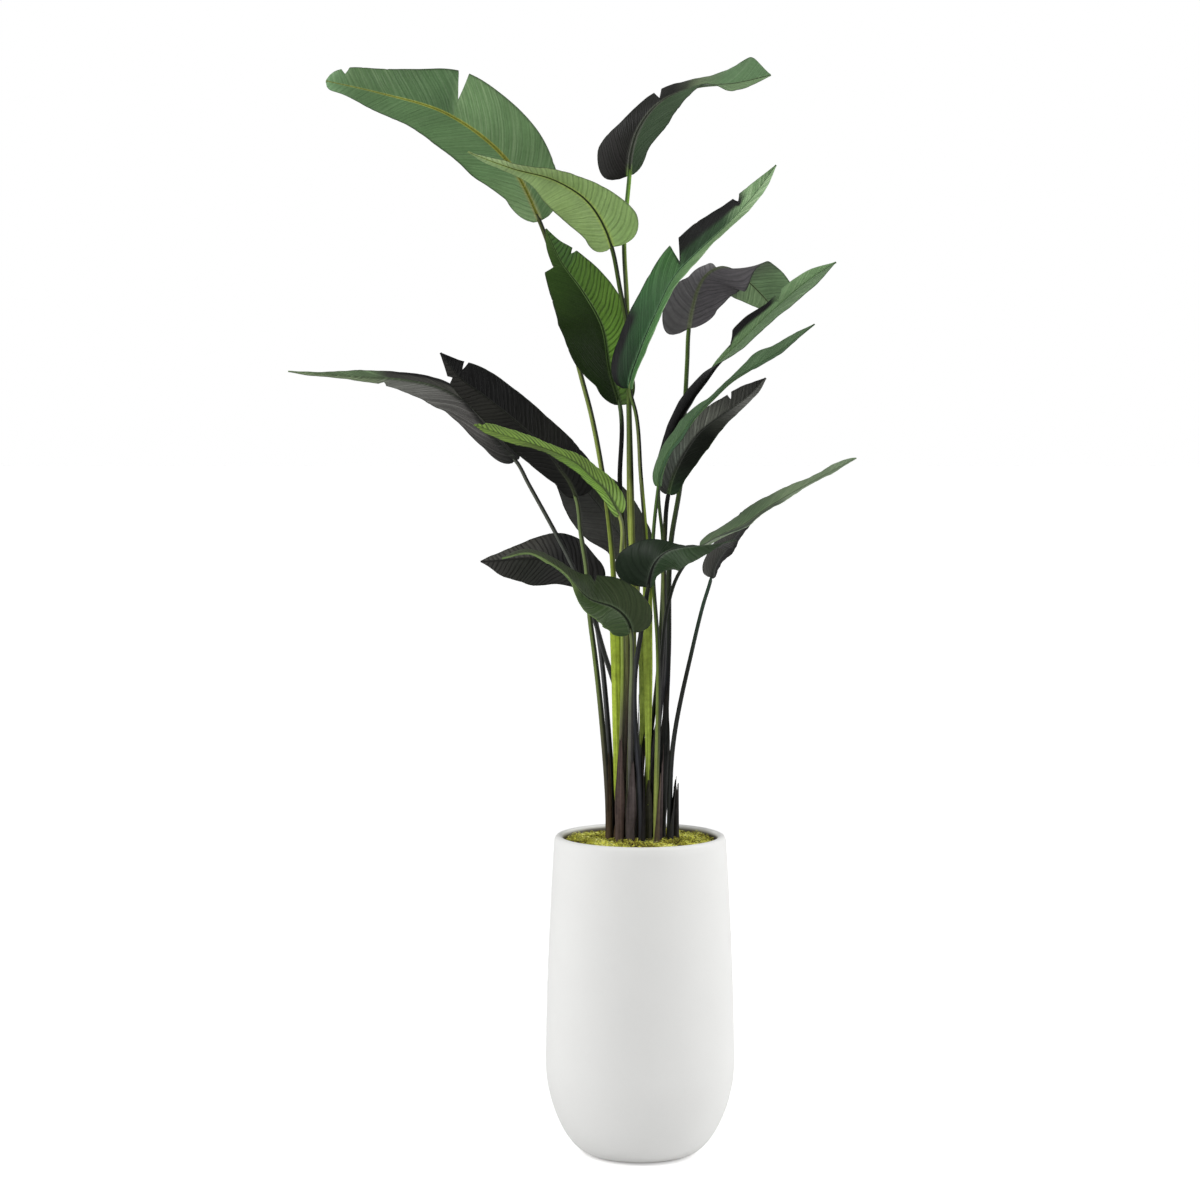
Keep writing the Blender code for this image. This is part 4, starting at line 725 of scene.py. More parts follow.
class Path:
    """The line of one frond: places, headings, face and side directions, roll and fold, by length from its foot."""

    def __init__(self, frond):
        x, y = frond["foot"]
        stem = [(x, y, STEM_FOOT_Z), (x, y, STEM_STRAIGHT_Z), (x, y, STEM_LEAVES_SOIL_Z)] + frond["stem"]
        roll, fold = frond["rib"][0][3:]
        self.fine = spline([(*point, roll, fold) for point in stem] + frond["rib"])
        steps = np.linalg.norm(np.diff(self.fine[:, :3], axis=0), axis=1)
        self.length = np.concatenate([[0.0], np.cumsum(steps)])
        self.base = self.length[len(stem) * PATH_SAMPLES]
        self.end = self.length[-1]
        self.blade = self.end - self.base
        self.face = np.array(frond.get("face", VIEWER_SIDE), float)

    def at(self, places):
        """Values at lengths: centre, tangent, side, face direction, roll and fold, each on a last axis."""
        def value(where, axis):
            """One of the path's numbers at lengths."""
            return np.interp(where, self.length, self.fine[:, axis])
        centre = np.stack([value(places, axis) for axis in range(3)], -1)
        after = np.minimum(places + TANGENT_STEP, self.end)
        before = np.maximum(places - TANGENT_STEP, 0)
        tangent = normalised(np.stack([value(after, axis) - value(before, axis) for axis in range(3)], -1))
        toward = normalised(self.face - (tangent @ self.face)[..., None] * tangent)
        side = np.cross(tangent, toward)
        return centre, tangent, side, toward, np.radians(value(places, 3)), np.radians(value(places, 4))

    def stem_half_width(self, places):
        """Half width of the stem at lengths: an even taper from its foot to the blade."""
        along = np.clip(places / self.base, 0, 1)
        return (STEM_WIDTH_FOOT + (STEM_WIDTH_TOP - STEM_WIDTH_FOOT) * along) / 2


def outline(frond, share, side):
    """Half width of a blade: a smooth curve through the widths drawn for it, rounded off at its base.

    A frond with a blunt tip is also rounded off there, by a quarter of an ellipse.
    """
    widths = np.array(frond[side] + (frond.get("tip", TIP_HALF_WIDTH),), float)
    places = np.array(OUTLINE_SHARES)
    secants = np.diff(widths) / np.diff(places)
    slopes = np.concatenate([[secants[0]], (secants[1:] + secants[:-1]) / 2, [secants[-1]]])
    span = np.clip(np.searchsorted(places, share) - 1, 0, len(places) - 2)
    step = places[span + 1] - places[span]
    t = np.clip((share - places[span]) / step, 0, 1)
    width = cubic(t, widths[span], widths[span + 1], slopes[span] * step, slopes[span + 1] * step)
    rounding = np.sqrt(1 - (1 - np.clip(share / ROUND_BASE, 0, 1)) ** 2)
    if "tip" in frond:
        rounding = rounding * np.sqrt(1 - np.clip((share - 1 + BLUNT_TIP) / BLUNT_TIP, 0, BLUNTEST) ** 2)
    return np.maximum(width * rounding, TIP_HALF_WIDTH)


def vein_slant(share, drop):
    """How far the margins run ahead of the rib: a little behind it at the base lobes, level at the tip."""
    lobes = 1 - LOBE_DROP * drop * bell(share, LOBE_SHARE)
    return VEIN_SLANT * lobes * np.clip((1 - share) / SLANT_FADE, 0, 1)


def blade_shares(frond):
    """Rows along the rib: even ones, and close ones in and beside each tear."""
    shares = [np.linspace(BLADE_START, 1.0, BLADE_ROWS)]
    for _, place, _ in frond.get("tears", ()):
        offsets = TEAR_HALF_WIDTH * np.array(TEAR_ROWS)
        shares += [place + offsets, place - offsets]
    return np.unique(np.clip(np.concatenate(shares), BLADE_START, 1.0).round(5))


def tear_reach(frond, share, side, rng):
    """How far out the blade reaches: all the way, but for a V at each tear, its clips, and nicks in the margin."""
    reach = np.ones_like(share)
    for tear_side, place, depth in frond.get("tears", ()):
        if tear_side == side:
            open_share = np.clip(1 - np.abs(share - place) / TEAR_HALF_WIDTH, 0, 1)
            reach = np.minimum(reach, 1 - depth * open_share ** TEAR_POWER)
    for clip_side, stops in frond.get("clips", ()):
        if clip_side == side:
            reach = np.minimum(reach, np.interp(share, *zip(*stops)))
    places = rng.uniform(*NICK_PLACES, NICKS)
    depths = rng.uniform(*NICK_DEPTHS, NICKS)
    nicks = depths * np.clip(1 - np.abs(share[:, None] - places) / NICK_HALF_WIDTH, 0, 1)
    return reach - nicks.sum(axis=1)


def along_rib(stops, share):
    """Colour at shares along the rib: the one colour, or straight blends between the colours at the stops."""
    if isinstance(stops, tuple):
        return np.broadcast_to(linear(stops), share.shape + (3,))
    return tones_at(share, *zip(*stops))


def blended(first, second, weight):
    """A mix of two arrays of colours by an array of weights."""
    return first * (1 - weight[..., None]) + second * weight[..., None]


def face_colours(look, face, share, across, from_rib, spread):
    """Colour of each point of one face: its half, then the patches, the margin lines, and the rib.

    from_rib is the distance from the rib over the rib's half width, and spread the share out to the margin.
    A patch is painted shade: the product of smooth ramps at its start, its end and its inner border.
    """
    # each half's colour, with its painted shade and painted sheen
    colour = np.where(across[..., None] < 0, along_rib(look[face][0], share), along_rib(look[face][1], share))
    # patches: painted shade over part of a half
    for patch_face, half, start, stop, inner, patch in look.get("patches", ()):
        if patch_face == face:
            weight = ramp(start, PATCH_START, share) * (1 - ramp(stop, PATCH_END, share))
            weight = weight * (across < 0 if half == "left" else across > 0) * ramp(inner, PATCH_INNER, spread)
            colour = blended(colour, linear(patch), weight)
    for sign, edge in zip((-1, 1), look.get("edges", (DARK_EDGE, DARK_EDGE))):
        line = MARGIN_LINE * smooth_step(MARGIN_LINE_START, 1.0, spread) * (across * sign > 0)
        colour = blended(colour, linear(edge), line)
    if face == "under":
        keel = np.interp(from_rib, RIB_SHINE_PLACES, KEEL_SHINE)
        return blended(colour, along_rib(look.get("rib_under", look["rib"]), share), keel)
    border = np.interp(from_rib, RIB_SHINE_PLACES, RIB_SHINE)
    colour = blended(colour, along_rib(look["rib"], share), border)
    # the channel between the rib's borders is darkened: painted shade in the groove
    channel = linear(look["channel"]) if "channel" in look else along_rib(look["top"][0], share) * CHANNEL_SHADE
    return blended(colour, channel, CHANNEL_STRENGTH * smooth_step(*CHANNEL_EDGE, from_rib))


def frond_seed(name):
    """A fixed seed for each frond, from the letters of its name."""
    return sum(ord(letter) * (place + 3) for place, letter in enumerate(name))


def half_band(frond, half, drop, share, lines, rib, rng):
    """One half of a blade: top, underside, signed distance from the rib, share out to the margin, outward direction.

    A point lies its distance out from the rib along a line at the half's own angle, ahead by the slant of the
    veins, and off that line by a wave that grows to the margin, a low arch and a flutter of three sines.
    """
    centre, tangent, side, toward, roll, fold = lines
    sign = -1 if half == "left" else 1
    reach = tear_reach(frond, share, half, rng)
    half_width = np.maximum(outline(frond, share, half), rib + LEAST_HALF_WIDTH)
    turn = fold + sign * roll
    outward = sign * np.cos(turn)[:, None] * side + np.sin(turn)[:, None] * toward
    normal = -sign * np.sin(turn)[:, None] * side + np.cos(turn)[:, None] * toward
    spread = np.concatenate([INNER_SPREAD, np.linspace(*MIDDLE_SPREAD, MIDDLE_COLUMNS), OUTER_SPREAD])
    distance = rib[:, None] + (half_width - rib)[:, None] * spread * reach[:, None]
    out_share = distance / half_width[:, None]
    fade = np.clip((1 - share) * TIP_CALM, 0, 1)[:, None]
    wave = MARGIN_WAVE * np.sin(2 * math.pi * WAVES_PER_BLADE * share + WAVE_START[half])[:, None]
    phases = rng.uniform(0, 2 * math.pi, len(FLUTTER_RATES))
    flutter = sum(np.sin(2 * math.pi * rate * share + phase) / (index + 1)
                  for index, (rate, phase) in enumerate(zip(FLUTTER_RATES, phases)))[:, None]
    off = wave * out_share ** 2 * fade + FLUTTER * flutter * out_share ** 3 * fade
    off = off + ARCH * 4 * spread * (1 - spread) * np.clip(half_width / ARCH_FULL_WIDTH, 0, 1)[:, None]
    ahead = vein_slant(share, drop)[:, None] * distance
    place = (centre[:, None] + distance[..., None] * outward[:, None] + ahead[..., None] * tangent[:, None]
             + off[..., None] * normal[:, None])
    lift = BLADE_THICKNESS / 2 * normal[:, None]
    return place + lift, place - lift, sign * distance, spread * np.ones_like(distance), outward


def blade_arrays(name, frond, look, path):
    """The blade: two grids, top and underside, over the share along the rib and the share out to each margin.

    Between the halves runs the rib: a channel with raised borders on top, and a rounded keel underneath. Its
    section is a bell for each border, less a wider bell for the channel. The veins' map holds the length along
    the rib, less the lean and curve of the veins with the distance out, and the signed distance.
    """
    rng = np.random.default_rng(frond_seed(name))
    share = blade_shares(frond)
    lines = path.at(path.base + share * path.blade)
    centre, _, side, toward, roll, _ = lines
    rib = RIB_HALF_WIDTH_TIP + (STEM_WIDTH_TOP / 2 - RIB_HALF_WIDTH_TIP) * (1 - share) ** RIB_TAPER
    thick = BLADE_THICKNESS / 2
    middle = np.cos(roll)[:, None] * toward - np.sin(roll)[:, None] * side
    lobes = frond.get("lobes", (1, 1))
    *left, left_outward = half_band(frond, "left", lobes[0], share, lines, rib, rng)
    *right, right_outward = half_band(frond, "right", lobes[1], share, lines, rib, rng)
    bands = [[part[:, ::-1] for part in left]]
    for x in RIB_COLUMNS:
        border = RIB_BORDER_SHARE * bell(abs(x) - RIB_BORDER_PLACE, RIB_BORDER_WIDTH)
        channel = RIB_CHANNEL_SHARE * bell(x, RIB_CHANNEL_WIDTH)
        keel = RIB_DEPTH_SHARE * (1 - x * x) ** KEEL_ROUNDNESS
        out = centre + abs(x) * rib[:, None] * (left_outward if x < 0 else right_outward)
        bands.append([(out + (thick + (border - channel) * rib)[:, None] * middle)[:, None],
                      (out - (thick + keel * rib)[:, None] * middle)[:, None],
                      (x * rib)[:, None], np.zeros((len(share), 1))])
    top, under, across, margin = (np.concatenate(parts, axis=1) for parts in zip(*bands, right))
    rows_share = np.broadcast_to(share[:, None], across.shape)
    from_rib = np.abs(across) / rib[:, None]
    tint = np.concatenate([face_colours(look, face, rows_share, across, from_rib, margin).reshape(-1, 3)
                           for face in ("top", "under")])
    left_half = across < 0
    ahead = np.where(left_half, *look["lean"]) + np.where(left_half, *look["curve"]) * np.abs(across)
    along = np.stack([rows_share * path.blade - ahead * np.abs(across), across], -1).reshape(-1, 2)
    numbers = {"streaks": np.tile(np.where(left_half, *look["streaks"]).ravel(), 2),
               "pleats": np.tile((np.where(left_half, *look["pleats"]) * (from_rib > PLEATS_START)).ravel(), 2)}
    vertices = np.concatenate([top.reshape(-1, 3), under.reshape(-1, 3)])
    return vertices, slab_faces(*across.shape), tint, numbers, np.tile(along, (2, 1))


def stem_arrays(look, path):
    """The stem: a tube with an oval section and a groove along its face, tapering from the soil to the blade.

    The groove is a bell round the face's angle, which deepens up the stem. The last rows close to a round end.
    """
    start = STEM_START_Z - STEM_FOOT_Z
    stop = path.base + STEM_END_SHARE * path.blade
    rows = max(STEM_LEAST_ROWS, int((stop - start) / STEM_ROW_STEP))
    places = np.linspace(start, stop, rows)
    centre, tangent, side, toward, roll, _ = path.at(places)
    end = np.sqrt(np.clip((stop - places) / STEM_ROW_STEP, STEM_BLUNT_END, 1))
    width = path.stem_half_width(places) * end
    lift = np.cos(roll)[:, None] * toward - np.sin(roll)[:, None] * side
    across = np.cos(roll)[:, None] * side + np.sin(roll)[:, None] * toward
    angle = around(STEM_SIDES)
    deepening = np.interp(places / path.base, STEM_GROOVE_DEEPENS, (0, 1))[:, None]
    groove = STEM_GROOVE * bell(angle - math.pi / 2, STEM_GROOVE_WIDTH) * deepening
    out = np.cos(angle)[None, :] * width[:, None]
    up = (np.sin(angle)[None, :] - groove) * (width * STEM_DEPTH_SHARE)[:, None]
    offset = out[..., None] * across[:, None] + up[..., None] * lift[:, None]
    # each stem's two sides, as the viewer sees them: its own colour with painted light on one and painted shade on
    # the other
    heights, *sides = zip(*look["stem"])
    left, right = (tones_at(centre[:, 2], heights, tones)[:, None] for tones in sides)
    seen_side = normalised(np.cross(tangent, VIEWER_SIDE))
    seen = np.einsum("rck,rk->rc", offset, seen_side) / width[:, None]
    colour = blended(left, right, smooth_step(*STEM_LIGHT_SHADE_BORDER, seen))
    vertices = np.concatenate([(centre[:, None] + offset).reshape(-1, 3), centre[:1], centre[-1:]])
    faces = [grid_quads(rows, STEM_SIDES, closed=True)[:, ::-1],
             *end_fans(STEM_SIDES, (rows - 1) * STEM_SIDES, rows * STEM_SIDES)]
    tint = np.concatenate([colour.reshape(-1, 3), colour[0, :1], colour[-1, :1]])
    uv = np.stack(np.broadcast_arrays(places[:, None], angle * STEM_WIDTH_FOOT / 2), -1).reshape(-1, 2)
    return vertices, faces, tint, np.concatenate([uv, uv[:1], uv[-1:]])


def sheath_arrays(path, low, high, turn, half_angle, standoff, rng):
    """A sheath: a strip bent round the stem from low to high, whose torn end runs to a point at its middle.

    Rows run up the stem and columns round it. The outside stands off from the stem, the inside lies one
    thickness under it, and the rim is closed along all four edges. A sheath that points down hugs the stem.
    """
    t = np.linspace(0, 1, SHEATH_ROWS)[:, None]
    s = np.linspace(-1, 1, SHEATH_COLUMNS)[None, :]
    ragged = SHEATH_RAGGED * rng.uniform(-1, 1, SHEATH_COLUMNS)[None, :]
    point = 1 - np.abs(s) ** SHEATH_POINT_CURVE * SHEATH_POINT + ragged * (1 - np.abs(s))
    height = low + (high - low) * np.clip(point, SHEATH_SHORTEST, 1) * t
    heights = np.interp(height, path.fine[:, 2], path.length)
    centre, _, side, toward, _, _ = path.at(heights)
    gap = GAP_AT_POINT * t ** 2 if high > low else GAP_AT_BASE * (1 - t) ** 2 + GAP_HUGGING
    lift_off = SHEATH_STANDOFF * standoff * (GAP_LEAST + gap + GAP_AT_SIDES * np.abs(s) ** 3)
    angle = np.radians(turn + 90) + np.radians(half_angle) * s * (1 - SHEATH_NARROWING * t)
    shells = []
    for off in (lift_off + SHEATH_THICKNESS, lift_off):
        radius = path.stem_half_width(heights) + off
        shells.append((centre + (radius * np.cos(angle))[..., None] * side
                       + (radius * STEM_DEPTH_SHARE * np.sin(angle))[..., None] * toward).reshape(-1, 3))
    uv = np.stack(np.broadcast_arrays(height, s * FIBRE_GIRTH), -1).reshape(-1, 2)
    faces = slab_faces(SHEATH_ROWS, SHEATH_COLUMNS)
    fade = np.zeros(height.size)
    if high > low:
        faces = [part[:, ::-1] for part in faces]
        fade = np.repeat(t, SHEATH_COLUMNS)
    return np.concatenate(shells), faces, np.tile(uv, (2, 1)), np.tile(fade, 2)


def stub_arrays(stub, rng):
    """A cut sheath stub: an oval tube of rising, narrowing rings with ridges, whose top row is torn into teeth."""
    x, y = stub["foot"]
    width = stub["width"]
    t = np.linspace(0, 1, STUB_ROWS)[:, None]
    angle = around(STUB_COLUMNS)[None, :]
    teeth = STUB_TEETH * rng.uniform(-1, 0, STUB_COLUMNS)[None, :]
    top = stub["top"] + np.cos(angle) * width * STUB_CUT_SLOPE + teeth
    height = STEM_START_Z + (top - STEM_START_Z) * t
    ridges = 1 + sum(depth * np.sin(turns * angle + start) for turns, depth, start in STUB_RIDGES)
    outer = width / 2 * (1 - STUB_NARROWING * t) * ridges
    shells = [np.stack([x + radius * np.cos(angle), y + radius * STEM_DEPTH_SHARE * np.sin(angle), height], -1)
              for radius in (outer, outer * STUB_HOLLOW)]
    count = STUB_ROWS * STUB_COLUMNS
    ring = np.arange(STUB_COLUMNS)
    following = (ring + 1) % STUB_COLUMNS
    edge = count - STUB_COLUMNS
    faces = [grid_quads(STUB_ROWS, STUB_COLUMNS, closed=True),
             grid_quads(STUB_ROWS, STUB_COLUMNS, closed=True, start=count)[:, ::-1],
             np.stack([edge + ring, edge + following, edge + following + count, edge + ring + count], -1),
             np.stack([following, ring, ring + count, following + count], -1)]
    uv = np.stack(np.broadcast_arrays(height, angle * FIBRE_GIRTH / 2), -1).reshape(-1, 2)
    fade = np.repeat(t, STUB_COLUMNS)
    return np.concatenate(shells).reshape(-1, 3), faces, np.tile(uv, (2, 1)), np.tile(fade, 2)


def pot_outer_radius(height):
    """Outer radius of the planter: a rounded bowl up to the belly, then a slow curve in to the rim."""
    height = np.asarray(height, float)
    rise = 1.0 - (1.0 - np.clip(height / POT_BELLY_HEIGHT, 0, 1)) ** BOWL_RISE
    bowl = POT_BASE_RADIUS + (POT_BELLY_RADIUS - POT_BASE_RADIUS) * rise ** (1 / BOWL_ROUNDNESS)
    share = np.clip((height - POT_BELLY_HEIGHT) / (POT_HEIGHT - POT_BELLY_HEIGHT), 0, 1)
    shoulder = POT_BELLY_RADIUS - (POT_BELLY_RADIUS - POT_RIM_RADIUS) * share ** SHOULDER_ROUNDNESS
    return np.where(height < POT_BELLY_HEIGHT, bowl, shoulder)


# The moss reaches out to the planter's inner wall, less a clearance
MOSS_REACH = float(pot_outer_radius(MOSS_EDGE_HEIGHT) - POT_WALL - MOSS_WALL_CLEARANCE)


def planter_arrays():
    """The planter: its profile of radius and height, and how unshaded it is: 0 on the inner wall, painted in shade, 1
    past the rim.

    The profile runs up the inner wall, over the half round of the rim, down the outer radius with rows that
    grow closer towards the foot, and in over a small chamfer.
    """
    drop = POT_WALL / 2
    rim_angles = np.linspace(math.pi, 0, RIM_ROWS)[1:-1]
    inner = np.linspace(POT_INSIDE_Z, POT_HEIGHT - drop, INSIDE_ROWS)
    outer = np.concatenate([np.linspace(POT_HEIGHT - drop, CLOSER_ROWS_Z, OUTSIDE_ROWS),
                            CLOSER_ROWS_Z * np.linspace(1, 0, OUTSIDE_ROWS)[1:] ** CLOSER_ROWS])
    outer = outer[outer > LOWEST_ROW_Z]
    radius = np.concatenate([pot_outer_radius(inner) - POT_WALL, POT_RIM_RADIUS - drop + drop * np.cos(rim_angles),
                             pot_outer_radius(outer), POT_BASE_RADIUS - np.array(FOOT_INSETS)])
    height = np.concatenate([inner, POT_HEIGHT - drop + drop * np.sin(rim_angles), outer, FOOT_HEIGHTS])
    unshaded = np.interp(np.arange(len(radius)) - INSIDE_ROWS, UNSHADED_ROWS, (0, 1))
    return radius, height, unshaded


def turned_arrays(radius, height, segments):
    """A profile turned about Z: rings of radius and height, closed by a fan at each end."""
    angle = around(segments)
    ring = np.stack([radius[:, None] * np.cos(angle), radius[:, None] * np.sin(angle),
                     np.broadcast_to(height[:, None], (len(radius), segments))], -1).reshape(-1, 3)
    vertices = np.concatenate([ring, [[0, 0, height[0]], [0, 0, height[-1]]]])
    return vertices, [grid_quads(len(radius), segments, closed=True)[:, ::-1],
                      *end_fans(segments, len(ring) - segments, len(ring))]


def moss_height(radius, angle):
    """Height of the moss: a low dome with soft lumps, the mean of three waves round and out."""
    share = radius / MOSS_REACH
    lumps = waves(MOSS_LUMPS, angle, share) * np.clip(share / LUMPS_START, 0, 1)
    return MOSS_EDGE_HEIGHT + MOSS_DOME * (1 - share ** 2) + MOSS_RELIEF * lumps


def tuft_height(x, y, tufts):
    """Height of the tufts over the moss: a sum of many small bell curves, up or down."""
    return sum(height * np.exp(-((x - px) ** 2 + (y - py) ** 2) / size ** 2) for px, py, size, height in tufts)


def moss_bed_arrays(rng):
    """The bed of the moss: rings of its height plus tufts, with a level underside and a wall between them."""
    radius = np.linspace(FIRST_RING, MOSS_REACH, MOSS_RINGS)[:, None]
    angle = around(MOSS_SEGMENTS)[None, :]
    x, y = radius * np.cos(angle), radius * np.sin(angle)
    places = rng.uniform(-MOSS_REACH, MOSS_REACH, (MOSS_TUFTS, 2))
    sizes = rng.uniform(*TUFT_SIZES, MOSS_TUFTS)
    heights = rng.uniform(*TUFT_HEIGHTS, MOSS_TUFTS)
    tufts = np.column_stack([places, sizes, heights])
    edge_fade = ramp(MOSS_REACH, TUFT_EDGE, radius)
    z = moss_height(radius, angle) - BED_SINK + tuft_height(x, y, tufts) * edge_fade
    grid = np.stack([x, y, z], -1).reshape(-1, 3)
    count = len(grid)
    rim = grid[-MOSS_SEGMENTS:]
    under = np.column_stack([rim[:, :2], np.full(MOSS_SEGMENTS, MOSS_UNDERSIDE)])
    vertices = np.concatenate([grid, under, [[0, 0, z[0].mean()], [0, 0, MOSS_UNDERSIDE]]])
    column = np.arange(MOSS_SEGMENTS)
    following = (column + 1) % MOSS_SEGMENTS
    edge = count - MOSS_SEGMENTS
    faces = [grid_quads(MOSS_RINGS, MOSS_SEGMENTS, closed=True)[:, ::-1],
             np.stack([edge + following, edge + column, count + column, count + following], -1),
             *end_fans(MOSS_SEGMENTS, count, count + MOSS_SEGMENTS)]
    return vertices, faces, tufts


def moss_fibre_arrays(rng, tufts):
    """Loose fibres: each a three-sided tapering thread along a short curve that leaves the bed and bends over.

    Its heading turns evenly, its height is a parabola over the bed, and past the moss it is drawn back in.
    """
    steps, sides = FIBRE_STEPS, 3
    reach = MOSS_REACH - FIBRE_CLEARANCE

    def draw(low, high):
        """A number for each fibre."""
        return rng.uniform(low, high, MOSS_FIBRES)
    radius = reach * np.sqrt(draw(0, 1))
    angle = draw(0, 2 * math.pi)
    x, y = radius * np.cos(angle), radius * np.sin(angle)
    z = moss_height(radius, angle) - FIBRE_SINK + tuft_height(x, y, tufts)
    heading = draw(0, 2 * math.pi)
    length = draw(*FIBRE_LENGTHS)
    rise = draw(*FIBRE_RISES)
    curl = draw(-FIBRE_CURL, FIBRE_CURL)
    t = np.linspace(0, 1, steps)[None, :]
    turn = heading[:, None] + curl[:, None] * t
    step = (length / steps)[:, None]
    px = x[:, None] + np.cumsum(np.cos(turn), axis=1) * step
    py = y[:, None] + np.cumsum(np.sin(turn), axis=1) * step
    pull = np.minimum(1, reach / np.maximum(np.hypot(px, py), 1e-6))
    pz = z[:, None] + rise[:, None] * 4 * t * (1 - t)
    centre = np.stack([px * pull, py * pull, pz], -1)
    thickness = draw(*FIBRE_THICKNESSES)[:, None] * (1 - FIBRE_TAPER * t)
    sideways = np.stack([-np.sin(turn), np.cos(turn), np.zeros_like(turn)], -1)
    upward = np.array([0.0, 0.0, 1.0])
    corner = around(sides) + math.pi / 2
    ring = (centre[:, :, None] + thickness[..., None, None] * (np.cos(corner)[:, None] * sideways[:, :, None]
                                                               + np.sin(corner)[:, None] * upward))
    first = np.arange(MOSS_FIBRES)[:, None, None] * steps * sides
    faces = [(grid_quads(steps, sides, closed=True)[None] + first).reshape(-1, 4),
             (np.array([[2, 1, 0]])[None] + first).reshape(-1, 3),
             (np.array([[0, 1, 2]])[None] + (steps - 1) * sides + first).reshape(-1, 3)]
    return ring.reshape(-1, 3), faces, np.repeat(draw(0, 1), steps * sides)


def moss_colours(places, tone):
    """Colour of the moss: brown, olive or yellow-green, by slow waves over the bed and by each fibre's tone."""
    patch = MOSS_PATCH_STRENGTH * waves(MOSS_PATCHES, places[:, 0], places[:, 1])
    return tones_at(np.clip(MOSS_MIDDLE + patch + MOSS_TONE_STRENGTH * (tone - 0.5), 0, 1), *zip(*MOSS_TONES))


# Materials

def shader(material):
    """The Principled node of a material."""
    return material.node_tree.nodes["Principled BSDF"]


def new_material(name, roughness, shine=None):
    """A material with a plain Principled shader. Gives it with its node tree."""
    material = bpy.data.materials.new(name)
    material.use_nodes = True
    shader(material).inputs["Roughness"].default_value = roughness
    if shine is not None:
        shader(material).inputs["Specular IOR Level"].default_value = shine
    return material, material.node_tree


def add(tree, kind, **values):
    """Adds a node and sets its properties."""
    node = tree.nodes.new(kind)
    for key, value in values.items():
        setattr(node, key, value)
    return node


def math_node(tree, operation, *values):
    """A Math node whose inputs are sockets or numbers. Gives its output."""
    node = add(tree, "ShaderNodeMath", operation=operation)
    for socket, value in zip(node.inputs, values):
        if isinstance(value, (int, float)):
            socket.default_value = value
        else:
            tree.links.new(value, socket)
    return node.outputs[0]


def times(tree, first, second):
    """The product of two numbers."""
    return math_node(tree, "MULTIPLY", first, second)


def centred(tree, value, middle=0.5):
    """A number less its middle."""
    return math_node(tree, "SUBTRACT", value, middle)


def noise_node(tree, vector, scale=1.0, detail=4.0, roughness=0.55):
    """A noise texture over a vector, whose scale is a number or a socket. Gives its value."""
    node = add(tree, "ShaderNodeTexNoise")
    if isinstance(scale, float):
        node.inputs["Scale"].default_value = scale
    else:
        tree.links.new(scale, node.inputs["Scale"])
    node.inputs["Detail"].default_value = detail
    node.inputs["Roughness"].default_value = roughness
    tree.links.new(vector, node.inputs["Vector"])
    return node.outputs["Fac"]


def scaled_vector(tree, vector, factors):
    """A vector times three factors, one for each axis."""
    node = add(tree, "ShaderNodeVectorMath", operation="MULTIPLY")
    tree.links.new(vector, node.inputs[0])
    node.inputs[1].default_value = factors
    return node.outputs[0]


def stretched_noise(tree, uv, along, across, detail, roughness=0.55):
    """Noise over the veins' map, with so many patches in a metre along and across."""
    return noise_node(tree, scaled_vector(tree, uv, (along, across, 1.0)), detail=detail, roughness=roughness)


def new_group(name, inputs, outputs):
    """An empty shader group with named number inputs and their usual values, and named number outputs."""
    group = bpy.data.node_groups.new(name, "ShaderNodeTree")
    for label, value in inputs.items():
        socket = group.interface.new_socket(label, in_out="INPUT", socket_type="NodeSocketFloat")
        socket.default_value = value
    for label in outputs:
        group.interface.new_socket(label, in_out="OUTPUT", socket_type="NodeSocketFloat")
    return group, add(group, "NodeGroupInput").outputs, add(group, "NodeGroupOutput").inputs


def veins_group():
    """Veins: fine ridges and wide pleats at even lengths along the rib, bent a little by noise, and long streaks.

    The pleats are broad ridges between narrow grooves, a sine raised to a power; the tone darkens the grooves as
    painted shade. Inputs: vein spacing and pleat spacing in metres, and how much each one shows. Outputs: a height,
    a tone around 0 and a mask of streaks for painted sheen.
    """
    group, given, result = new_group("veins", {"Spacing": 0.0062, "Pleat": 0.0108, "Fine": 1.0, "Wide": 1.0},
                                     ("Height", "Tone", "Sheen_Streak"))
    uv = add(group, "ShaderNodeUVMap", uv_map="veins").outputs["UV"]
    parts = add(group, "ShaderNodeSeparateXYZ")
    group.links.new(uv, parts.inputs[0])
    drift = stretched_noise(group, uv, 24.0, 30.0, detail=2.0)
    length = math_node(group, "MULTIPLY_ADD", drift, 0.012, parts.outputs["X"])

    def sines(spacing):
        """A sine along the rib, with a spacing in metres."""
        return math_node(group, "SINE", times(group, math_node(group, "DIVIDE", length, spacing), 2 * math.pi))
    fine = times(group, sines(given["Spacing"]), given["Fine"])
    groove = math_node(group, "POWER", math_node(group, "MULTIPLY_ADD", sines(given["Pleat"]), 0.5, 0.5), 3.0)
    unevenness = stretched_noise(group, uv, 40.0, 25.0, detail=2.0)
    wide = times(group, times(group, groove, unevenness), given["Wide"])
    thread = centred(group, stretched_noise(group, uv, 700.0, 26.0, detail=3.0, roughness=0.6))
    # the tone darkens the pleats' grooves: painted shade in the creases, on top of the veins' own colour
    for label, of_fine, of_wide, of_thread in (("Height", 0.16, -1.6, 0.35), ("Tone", 0.22, -1.9, 1.5)):
        total = math_node(group, "MULTIPLY_ADD", fine, of_fine, times(group, wide, of_wide))
        group.links.new(math_node(group, "MULTIPLY_ADD", thread, of_thread, total), result[label])
    # pale streaks along the veins: painted sheen
    streak = centred(group, stretched_noise(group, uv, 150.0, 7.0, detail=4.0, roughness=0.6), 0.48)
    group.links.new(times(group, math_node(group, "MAXIMUM", streak, 0.0), 3.2), result["Sheen_Streak"])
    return group


